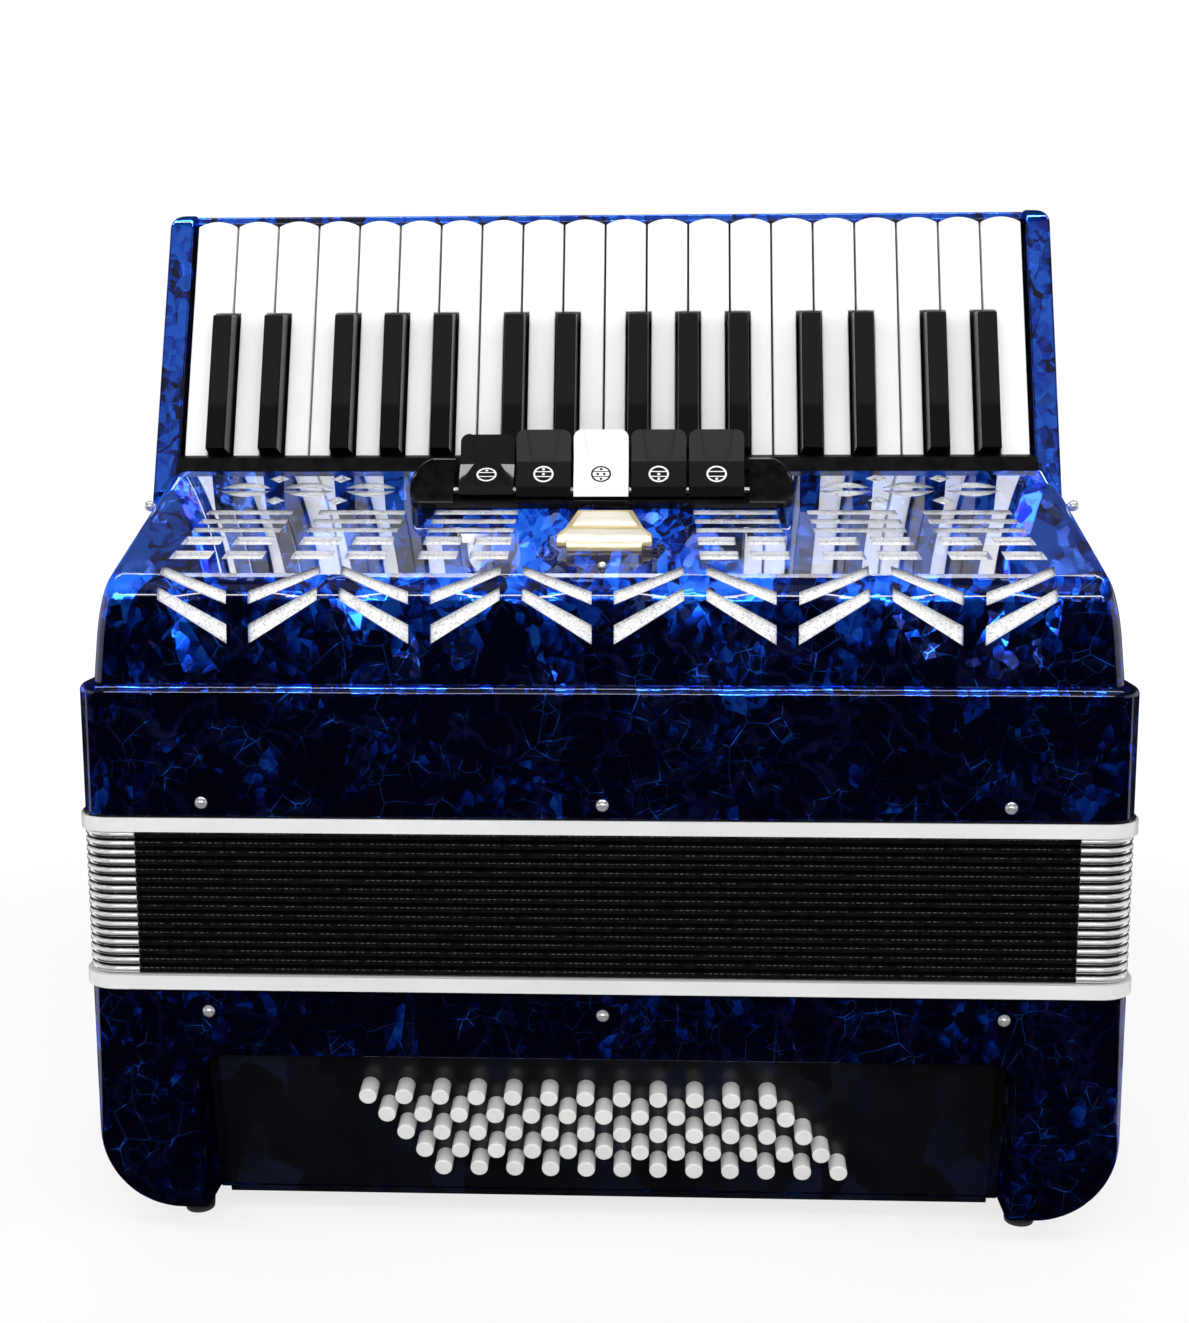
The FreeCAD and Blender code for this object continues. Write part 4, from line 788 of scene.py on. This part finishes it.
def guard_path(quarter):
    """Points round one corner of the bellows, with a straight run of equal reach on both sides."""
    radius = PLAN_RADIUS - GUARD_OUTER
    run = GUARD_LENGTH - GUARD_OUTER - radius
    arc = [Vector(point) for point in corner_arc(
        quarter, HALF_LENGTH - GUARD_OUTER, HALF_DEPTH - GUARD_OUTER, radius, 0.0)]
    a = math.radians(90.0 * quarter)
    start = arc[0] + Vector((math.sin(a), -math.cos(a), 0.0)) * run
    end = arc[-1] + Vector((-math.cos(a), -math.sin(a), 0.0)) * run
    return [tuple(v) for v in (start, *arc, end)]


def outline_curve(nodes, profile, width, height):
    """Closed profile whose points are shares of a width and a height."""
    line = nodes.add("GeometryNodeMeshLine", {}, {"Count": len(profile)})
    curve = nodes.add("GeometryNodeMeshToCurve", values={0: line})
    curve = nodes.add("GeometryNodeSetSplineCyclic", values={"Geometry": curve, "Cyclic": True})
    index = nodes.add("GeometryNodeInputIndex")
    places = []
    for shares, size in zip(zip(*profile), (width, height)):
        switch = nodes.add("GeometryNodeIndexSwitch", {"data_type": "FLOAT", "items": len(profile)},
                           {"Index": index, **{i + 1: share for i, share in enumerate(shares)}})
        places.append(switch * size * -1.0)
    place = nodes.joined(*places, 0.0)
    return nodes.add("GeometryNodeSetPosition", values={"Geometry": curve, "Position": place})


def swept(profile):
    """Tree that sweeps a closed profile along the base curve."""
    def build(nodes, start, sizes):
        path = nodes.add("GeometryNodeSetCurveNormal", {"mode": "Z_UP"}, {"Curve": start})
        outline = outline_curve(nodes, profile, sizes["Width"], sizes["Height"])
        return nodes.add("GeometryNodeCurveToMesh", {},
                         {"Curve": path, "Profile Curve": outline, "Fill Caps": True})
    return build


def solid(mesh):
    """Join doubles and point the faces outwards."""
    work = bmesh.new()
    work.from_mesh(mesh)
    bmesh.ops.remove_doubles(work, verts=work.verts, dist=1e-7)
    bmesh.ops.recalc_face_normals(work, faces=work.faces)
    work.to_mesh(mesh)
    work.free()
    return mesh


# Bellows: pleated cloth, with a metal guard on each corner of each pleat

# Profile of one pleat, as shares of its depth inwards and of its pitch upwards
PLEAT = ((0.12, 0.19), (0.01, 0.24), (0.0, 0.31), (0.0, 0.69), (0.01, 0.76), (0.12, 0.81), (1.0, 1.0))
CLOTH_BACK = 1.35
pleats = [(1.0, 0.0)]
for i in range(FOLDS):
    pleats += [(inwards, (i + rise) / FOLDS) for inwards, rise in PLEAT]
pleats += [(CLOTH_BACK, 1.0), (CLOTH_BACK, 0.0)]
cloth_path = wire("bellows_outline", [rounded_path(-FOLD_PEAK, BELLOWS_LOW)], True)
cloth_sizes = {"Width": (FOLD_VALLEY - FOLD_PEAK) * MM, "Height": FOLDS * FOLD_PITCH * MM}
cloth_mesh = solid(grown("bellows_cloth", cloth_path, swept(pleats), cloth_sizes, "cloth"))
keep_rest(cloth_mesh)
cloth = piece("bellows_cloth", cloth_mesh, "cloth", 40)
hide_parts("bellows_folds")
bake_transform(cloth)

# Profile of a guard, as shares of its depth inwards and of its height: a rounded strip, hollow behind
GUARD = ((1.0, -0.5), (0.36, -0.5), (0.2, -0.46), (0.08, -0.36), (0.02, -0.2), (0.0, 0.0),
         (0.02, 0.2), (0.08, 0.36), (0.2, 0.46), (0.36, 0.5), (1.0, 0.5), (1.0, 0.38), (0.4, 0.38),
         (0.22, 0.24), (0.22, -0.24), (0.4, -0.38), (1.0, -0.38))
GUARD_DEPTH = 3.0
guard_paths = wire("guard_paths", [guard_path(quarter) for quarter in range(len(CORNERS))], False)
guard_sizes = {"Width": GUARD_DEPTH * MM, "Height": GUARD_HEIGHT * MM}
guard_mesh = solid(grown("corner_guards", guard_paths, swept(GUARD), guard_sizes, "guard"))
# One copy of the guards for each pleat, set at the middle of its pleat, so that each keeps its shape
for level in range(FOLDS):
    height = (BELLOWS_LOW + (level + 0.5) * FOLD_PITCH) * MM
    mesh = guard_mesh.copy()
    mesh.transform(Matrix.Translation((0.0, 0.0, height)))
    guard = piece(f"corner_guards_{level + 1:02d}", mesh, "guard", 35)
    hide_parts("bellows_corners")
    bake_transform(guard)

# Thin black seals where the white frames meet the two cases
SEAL_PROUD, SEAL_DEPTH, SEAL_HEIGHT = 1.0, 2.0, 0.8
SEAL = ((0.0, 0.0), (1.0, 0.0), (1.0, 1.0), (0.0, 1.0))
for name, body, z, way in (("seal_bass", "bass", 112.3, -1.0), ("seal_treble", "treble", 185.54, 1.0)):
    seal_path = wire(name + "_path", [rounded_path(SEAL_PROUD, z)], True)
    seal_sizes = {"Width": SEAL_DEPTH * MM, "Height": SEAL_HEIGHT * way * MM}
    mesh = solid(grown(name, seal_path, swept(SEAL), seal_sizes, "gloss"))
    seal = piece(name, mesh, "gloss", 40)
    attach(seal, body)


# Hand strap of stitched leather

STRAP_HALF, STRAP_Y0, STRAP_Y1 = 170.0, -27.8, 39.8
STRAP_END_Z, STRAP_SAG, STRAP_THICK = 16.0, 9.9, 3.0
# Radius of its edges, how much thinner it is there, and the ribs along it
STRAP_EDGE, STRAP_THINNING, STRAP_RIBS = 0.9, 0.15, 72


def strap_z(x):
    """Height of the strap's upper face."""
    return STRAP_END_Z - STRAP_SAG * (1.0 - (x / STRAP_HALF) ** 2)


section = []
half_y, half_t = (STRAP_Y1 - STRAP_Y0) / 2, STRAP_THICK / 2 - 0.1
for quarter, (sy, sz) in enumerate(CORNERS):
    for i in range(4):
        a = math.radians(90 * quarter + 30 * i)
        section.append((sy * (half_y - STRAP_EDGE) + STRAP_EDGE * math.cos(a),
                        sz * (half_t - STRAP_EDGE) + STRAP_EDGE * math.sin(a)))
points, faces = [], []
for i in range(STRAP_RIBS + 1):
    x = STRAP_HALF * (2.0 * i / STRAP_RIBS - 1.0)
    for v, w in section:
        swell = 1.0 - STRAP_THINNING * (1.0 - math.cos(v / half_y * math.pi / 2))
        points.append((x, (STRAP_Y0 + STRAP_Y1) / 2 + v, strap_z(x) - STRAP_THICK / 2 + w * swell))
count = len(section)
for i in range(STRAP_RIBS):
    for j in range(count):
        k = (j + 1) % count
        faces.append((i * count + j, i * count + k, (i + 1) * count + k, (i + 1) * count + j))
faces.append(tuple(range(count)))
faces.append(tuple(len(points) - count + j for j in range(count)))
mesh = solid(mesh_of("hand_strap", points, faces))
keep_rest(mesh)
strap = piece("hand_strap", mesh, "leather", 50)
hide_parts("bass_strap")
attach(strap, "bass")


def stitches(nodes, start, sizes):
    """Short rounded threads laid along the base curve."""
    points = nodes.add("GeometryNodeCurveToPoints", {"mode": "LENGTH"},
                       {"Curve": start, "Length": sizes["Pitch"]})
    bead = nodes.add("GeometryNodeMeshUVSphere", {}, {"Segments": 8, "Rings": 4, "Radius": 1.0})
    bead_size = nodes.joined(sizes["Width"], sizes["Width"], sizes["Length"])
    bead = nodes.add("GeometryNodeTransform", {}, {"Geometry": bead, "Scale": bead_size})
    return nodes.add("GeometryNodeInstanceOnPoints", {},
                     {"Points": points, "Instance": bead, "Rotation": points.out("Rotation")})


# The stitches' distance from the strap's edge, how deep they lie, and their reach towards its ends
STITCH_INSET, STITCH_SUNK, STITCH_REACH, STITCH_STEPS = 3.5, 0.25, 0.97, 80
stitch_xs = [STRAP_HALF * STITCH_REACH * (2.0 * i / STITCH_STEPS - 1.0) for i in range(STITCH_STEPS + 1)]
rows = []
for y in (STRAP_Y0 + STITCH_INSET, STRAP_Y1 - STITCH_INSET):
    for down in (STRAP_THICK - STITCH_SUNK, STITCH_SUNK):
        rows.append([(x, y, strap_z(x) - down) for x in stitch_xs])
mesh = grown("strap_stitches", wire("stitch_rows", rows, False), stitches,
             {"Pitch": 4.2 * MM, "Width": 0.42 * MM, "Length": 1.5 * MM}, "thread")
thread_piece = piece("strap_stitches", mesh, "thread", 60)
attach(thread_piece, "bass")


# Foil behind the slots of the grille

# How deep the foil lies, where it starts above the slope's top edge, its foot, and its gap to the ends
FOIL_DEPTH, FOIL_TOP_RUN, FOIL_FOOT_Z, FOIL_GAP, FOIL_THICK = 3.1, -2.0, TREBLE_TOP + 3.0, 4.2, 0.25
# Steps of the foil down the slope, round the shoulder, down the front, and along its length
SLOPE_STEPS, ARC_STEPS, FRONT_STEPS, FOIL_COLUMNS = 24, 8, 12, 120


def between(first, last, share):
    return tuple(a + (b - a) * share for a, b in zip(first, last))


def foil_line():
    """(y, z) points down the slope, round the shoulder and down the front, set in from the skin."""
    front = math.atan(GRILLE_LEAN)
    out_slope = (-math.sin(SLOPE_ANGLE), math.cos(SLOPE_ANGLE))
    out_front = (-math.cos(front), math.sin(front))
    # Centre of the shoulder: its radius in from both faces
    radius = SHOULDER_RADIUS
    a = (SLOPE_TOP_Y - out_slope[0] * radius, SLOPE_TOP_Z - out_slope[1] * radius)
    b = (GRILLE_FOOT_Y - out_front[0] * radius, TREBLE_TOP - out_front[1] * radius)
    d = (math.cos(SLOPE_ANGLE), math.sin(SLOPE_ANGLE))
    e = (math.sin(front), math.cos(front))
    along = ((b[0] - a[0]) * e[1] - (b[1] - a[1]) * e[0]) / (d[0] * e[1] - d[1] * e[0])
    centre = (a[0] + d[0] * along, a[1] + d[1] * along)
    start, end = (math.atan2(out[1], out[0]) for out in (out_slope, out_front))
    arc = []
    for i in range(ARC_STEPS + 1):
        angle = start + (end - start) * i / ARC_STEPS
        arc.append((centre[0] + (radius - FOIL_DEPTH) * math.cos(angle),
                    centre[1] + (radius - FOIL_DEPTH) * math.sin(angle)))
    top = slope_place(FOIL_TOP_RUN, -FOIL_DEPTH)
    foot_y = GRILLE_FOOT_Y - out_front[0] * FOIL_DEPTH + GRILLE_LEAN * (FOIL_FOOT_Z - TREBLE_TOP)
    return ([between(top, arc[0], i / SLOPE_STEPS) for i in range(SLOPE_STEPS)] + arc
            + [between(arc[-1], (foot_y, FOIL_FOOT_Z), i / FRONT_STEPS)
               for i in range(1, FRONT_STEPS + 1)])


line = foil_line()
points, faces = [], []
for y, z in line:
    rise = z - TREBLE_TOP
    half = HOOD_HALF - HOOD_LOW_LEAN * rise - KNEE_LEAN * max(rise - HOOD_KNEE, 0.0) - FOIL_GAP
    points += [(half * (2.0 * i / FOIL_COLUMNS - 1.0), y, z) for i in range(FOIL_COLUMNS + 1)]
for row in range(len(line) - 1):
    for column in range(FOIL_COLUMNS):
        a = row * (FOIL_COLUMNS + 1) + column
        faces.append((a, a + FOIL_COLUMNS + 1, a + FOIL_COLUMNS + 2, a + 1))
mesh = mesh_of("grille_foil", points, faces)
lining = piece("grille_foil", mesh, "foil", 60)
skin = lining.modifiers.new("Thickness", "SOLIDIFY")
skin.thickness = FOIL_THICK * MM
skin.offset = 1.0
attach(lining, "treble")


# Badge plate, plain, on the slope below the switches

def slope_prism(name, outline, low, high, bevel, paint):
    """Plate on the slope with an outline of (x, s), s down the slope, and softened edges."""
    work = bmesh.new()
    rings = [[work.verts.new([c * MM for c in (x, *slope_place(-s, h))]) for x, s in outline]
             for h in (low, high)]
    work.faces.new(rings[1])
    work.faces.new(list(reversed(rings[0])))
    for i in range(len(outline)):
        k = (i + 1) % len(outline)
        work.faces.new((rings[0][i], rings[0][k], rings[1][k], rings[1][i]))
    bmesh.ops.recalc_face_normals(work, faces=work.faces)
    upper = [e for e in work.edges if any(v in rings[1] for v in e.verts)]
    bmesh.ops.bevel(work, geom=upper, offset=bevel * MM, segments=3, affect="EDGES", profile=0.5)
    mesh = bpy.data.meshes.new(name)
    work.to_mesh(mesh)
    work.free()
    made = piece(name, mesh, paint, 40)
    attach(made, "treble")


def mirrored(points):
    return points + [(-x, s) for x, s in reversed(points)]


# Heights above the slope of the badge's base and of the plates on it, with the radii of their edges
BASE_LOW, BASE_HIGH, BASE_EDGE = 0.1, 2.4, 0.6
PLATE_LOW, PLATE_HIGH, PLATE_EDGE = 2.3, 2.9, 0.3
base = mirrored([(11.6, 27.4), (16.4, 38.4), (19.8, 42.2), (19.8, 47.4), (15.6, 47.4), (15.6, 50.4)])
face = mirrored([(9.6, 29.2), (13.6, 37.6)])
band = mirrored([(15.2, 40.0), (18.0, 43.0), (18.0, 44.8), (13.6, 48.2)])
slope_prism("badge_base", base, BASE_LOW, BASE_HIGH, BASE_EDGE, "brass")
slope_prism("badge_face", face, PLATE_LOW, PLATE_HIGH, PLATE_EDGE, "pale_brass")
slope_prism("badge_band", band, PLATE_LOW, PLATE_HIGH, PLATE_EDGE, "pale_brass")


def rivet(name, x, s, radius, rise, paint):
    """Rivet head with a crowned top, standing on the slope."""
    rings, segments = 6, 24
    middle = Vector((x, *slope_place(-s, 0.05)))
    up = Vector((0.0, -math.sin(SLOPE_ANGLE), math.cos(SLOPE_ANGLE)))
    side = Vector((1.0, 0.0, 0.0))
    other = up.cross(side)
    points = [tuple(middle + up * rise)]
    for ring in range(1, rings + 1):
        a = math.pi / 2 * ring / rings
        for i in range(segments):
            b = 2 * math.pi * i / segments
            outwards = side * math.cos(b) + other * math.sin(b)
            points.append(tuple(middle + up * (rise * math.cos(a)) + outwards * (radius * math.sin(a))))
    faces = [(0, 1 + i, 1 + (i + 1) % segments) for i in range(segments)]
    for ring in range(rings - 1):
        for i in range(segments):
            a, b = 1 + ring * segments + i, 1 + ring * segments + (i + 1) % segments
            faces.append((a, a + segments, b + segments, b))
    faces.append(tuple(1 + (rings - 1) * segments + i for i in reversed(range(segments))))
    made = piece(name, solid(mesh_of(name, points, faces)), paint, 50)
    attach(made, "treble")


rivet("badge_rivet", -0.5, 58.6, 1.8, 1.3, "pin")


# Studio

def shown_white(nodes):
    """1 for rays that see the background: from the camera, off gloss and through glass."""
    path = nodes.add("ShaderNodeLightPath")
    seen = path + path.out("Is Glossy Ray") + path.out("Is Transmission Ray")
    return seen.math("MINIMUM", 1.0)


# Light of the world on matt surfaces, and the dark ceiling that gloss sees, with its rise to full dark
WORLD_LIGHT, CEILING = (0.38, 0.38, 0.38), (0.03, 0.03, 0.033)
CEILING_LOW, CEILING_HIGH = 0.10, 0.35
WHITE = (1.0, 1.0, 1.0)

world = bpy.data.worlds.new("studio")
scene.world = world
sky = Nodes(emptied(world))
_, _, elevation = sky.parts(sky.add("ShaderNodeTexCoord", out="Generated"))
is_seen = shown_white(sky)
camera_ray = sky.add("ShaderNodeLightPath")
ceiling = elevation.smooth(CEILING_LOW, CEILING_HIGH) * (1.0 - camera_ray)
backdrop = sky.mix(ceiling, WHITE, CEILING)
colour = sky.mix(is_seen, WORLD_LIGHT, backdrop)
background = sky.add("ShaderNodeBackground", values={"Color": colour, "Strength": 1.0})
sky.add("ShaderNodeOutputWorld", values={"Surface": background})


def stage_sheet(name, points, faces):
    """A sheet of the stage and the empty tree of its material."""
    mesh = bpy.data.meshes.new(name)
    mesh.from_pydata(points, [], faces)
    sheet = bpy.data.objects.new(name, mesh)
    scene.collection.objects.link(sheet)
    material = bpy.data.materials.new(name)
    mesh.materials.append(material)
    return sheet, Nodes(emptied(material))


# Paper floor, whiter away from the instrument, so that only its shadow is seen
FLOOR_HALF, PAPER, GLOW, WHITE_NEAR = 8.0, (0.86, 0.86, 0.86), 1.08, 0.7
SHADOW_REACH, WHITE_REACH = 0.45, 1.1
_, floor_nodes = stage_sheet(
    "floor", [(sx * FLOOR_HALF, sy * FLOOR_HALF, 0.0) for sx, sy in CORNERS], [(0, 1, 2, 3)])
paper = floor_nodes.add("ShaderNodeBsdfDiffuse", values={"Color": PAPER})
glow = floor_nodes.add("ShaderNodeEmission", values={"Color": WHITE, "Strength": GLOW})
spot = floor_nodes.vector("LENGTH", floor_nodes.add("ShaderNodeTexCoord", out="Object"), out="Value")
whiter = WHITE_NEAR + spot.smooth(SHADOW_REACH, WHITE_REACH) * (1.0 - WHITE_NEAR)
both = floor_nodes.add("ShaderNodeMixShader",
                       values={0: shown_white(floor_nodes) * whiter, 1: paper, 2: glow})
floor_nodes.add("ShaderNodeOutputMaterial", values={"Surface": both})


# Cards that only gloss sees: dark flags keep the faces dark, bright strips draw lines on round edges

def reflector(name, points, faces, strength):
    card, nodes = stage_sheet(name, points, faces)
    glow = nodes.add("ShaderNodeEmission", values={"Color": WHITE, "Strength": strength})
    nodes.add("ShaderNodeOutputMaterial", values={"Surface": glow})
    card.visible_camera = False
    card.visible_diffuse = False
    card.visible_transmission = False
    card.visible_shadow = False


def flag(name, half, near, far, top, strength):
    """Card just over the floor from near to far in Y, and up to its top at the far edge."""
    low = 0.002
    reflector(name, [(-half, near, low), (half, near, low), (half, far, low), (-half, far, low),
                     (half, far, top), (-half, far, top)], [(0, 1, 2, 3), (3, 2, 4, 5)], strength)


def strip(name, y, z, height, strength):
    """Bright card along X that faces the instrument."""
    reach = math.hypot(y - MIDDLE[1], z - MIDDLE[2])
    rise_y = (MIDDLE[2] - z) / reach * height / 2
    rise_z = (y - MIDDLE[1]) / reach * height / 2
    half = STRIP_HALF
    reflector(name, [(-half, y - rise_y, z - rise_z), (half, y - rise_y, z - rise_z),
                     (half, y + rise_y, z + rise_z), (-half, y + rise_y, z + rise_z)],
              [(0, 1, 2, 3)], strength)


def softbox(name, place, width, height, power):
    """Lamp that faces the instrument and lights only matt surfaces."""
    light = bpy.data.lights.new(name, "AREA")
    light.shape = "RECTANGLE"
    light.size = width
    light.size_y = height
    light.energy = power
    lamp = bpy.data.objects.new(name, light)
    scene.collection.objects.link(lamp)
    lamp.location = place
    lamp.rotation_euler = (Vector(MIDDLE) - Vector(place)).to_track_quat("-Z", "Y").to_euler()
    lamp.visible_camera = False
    lamp.visible_glossy = False


MIDDLE = (0.0, -0.05, 0.26)
STRIP_HALF = 1.3
flag("flag_front", 2.4, -0.03, -1.5, 0.62, 0.006)
flag("flag_back", 1.8, 0.15, 1.6, 0.9, 0.05)
strip("reflector_top", -0.10, 1.55, 0.14, 14.0)
strip("reflector_front", -2.2, 1.0, 0.14, 20.0)
strip("reflector_soft", -1.17, 1.44, 0.68, 0.35)
softbox("box_high", (0.0, -1.05, 1.42), 2.2, 0.3, 9.0)
softbox("box_front", (0.0, -2.5, 1.35), 2.4, 0.9, 30.0)
softbox("box_back", (0.0, 1.6, 1.35), 2.0, 0.5, 7.0)
softbox("box_left", (-1.5, -0.5, 0.75), 0.35, 1.1, 5.0)
softbox("box_right", (1.5, -0.6, 0.75), 0.35, 1.1, 5.0)


# Camera where the photograph was taken

CAMERA_PLACE = Vector((0.02529, -0.7699, 0.3519))
YAW, PITCH, ROLL = 0.04188, 0.1483, -0.002633
FOCAL_PIXELS, FRAME_PIXELS, SENSOR = 1700.0, 1189.0, 36.0
forward = Vector((-math.sin(YAW) * math.cos(PITCH), math.cos(YAW) * math.cos(PITCH), -math.sin(PITCH)))
right = Vector((math.cos(YAW), math.sin(YAW), 0.0))
above = right.cross(forward)
rolled_right = right * math.cos(ROLL) + above * math.sin(ROLL)
rolled_up = above * math.cos(ROLL) - right * math.sin(ROLL)
lens = bpy.data.cameras.new("camera")
lens.sensor_fit = "HORIZONTAL"
lens.sensor_width = SENSOR
lens.lens = FOCAL_PIXELS / FRAME_PIXELS * SENSOR
lens.clip_start = 0.01
camera = bpy.data.objects.new("camera", lens)
scene.collection.objects.link(camera)
axes = Matrix((rolled_right, rolled_up, -forward)).transposed()
camera.matrix_world = Matrix.Translation(CAMERA_PLACE) @ axes.to_4x4()
scene.camera = camera
scene.view_settings.view_transform = "Standard"
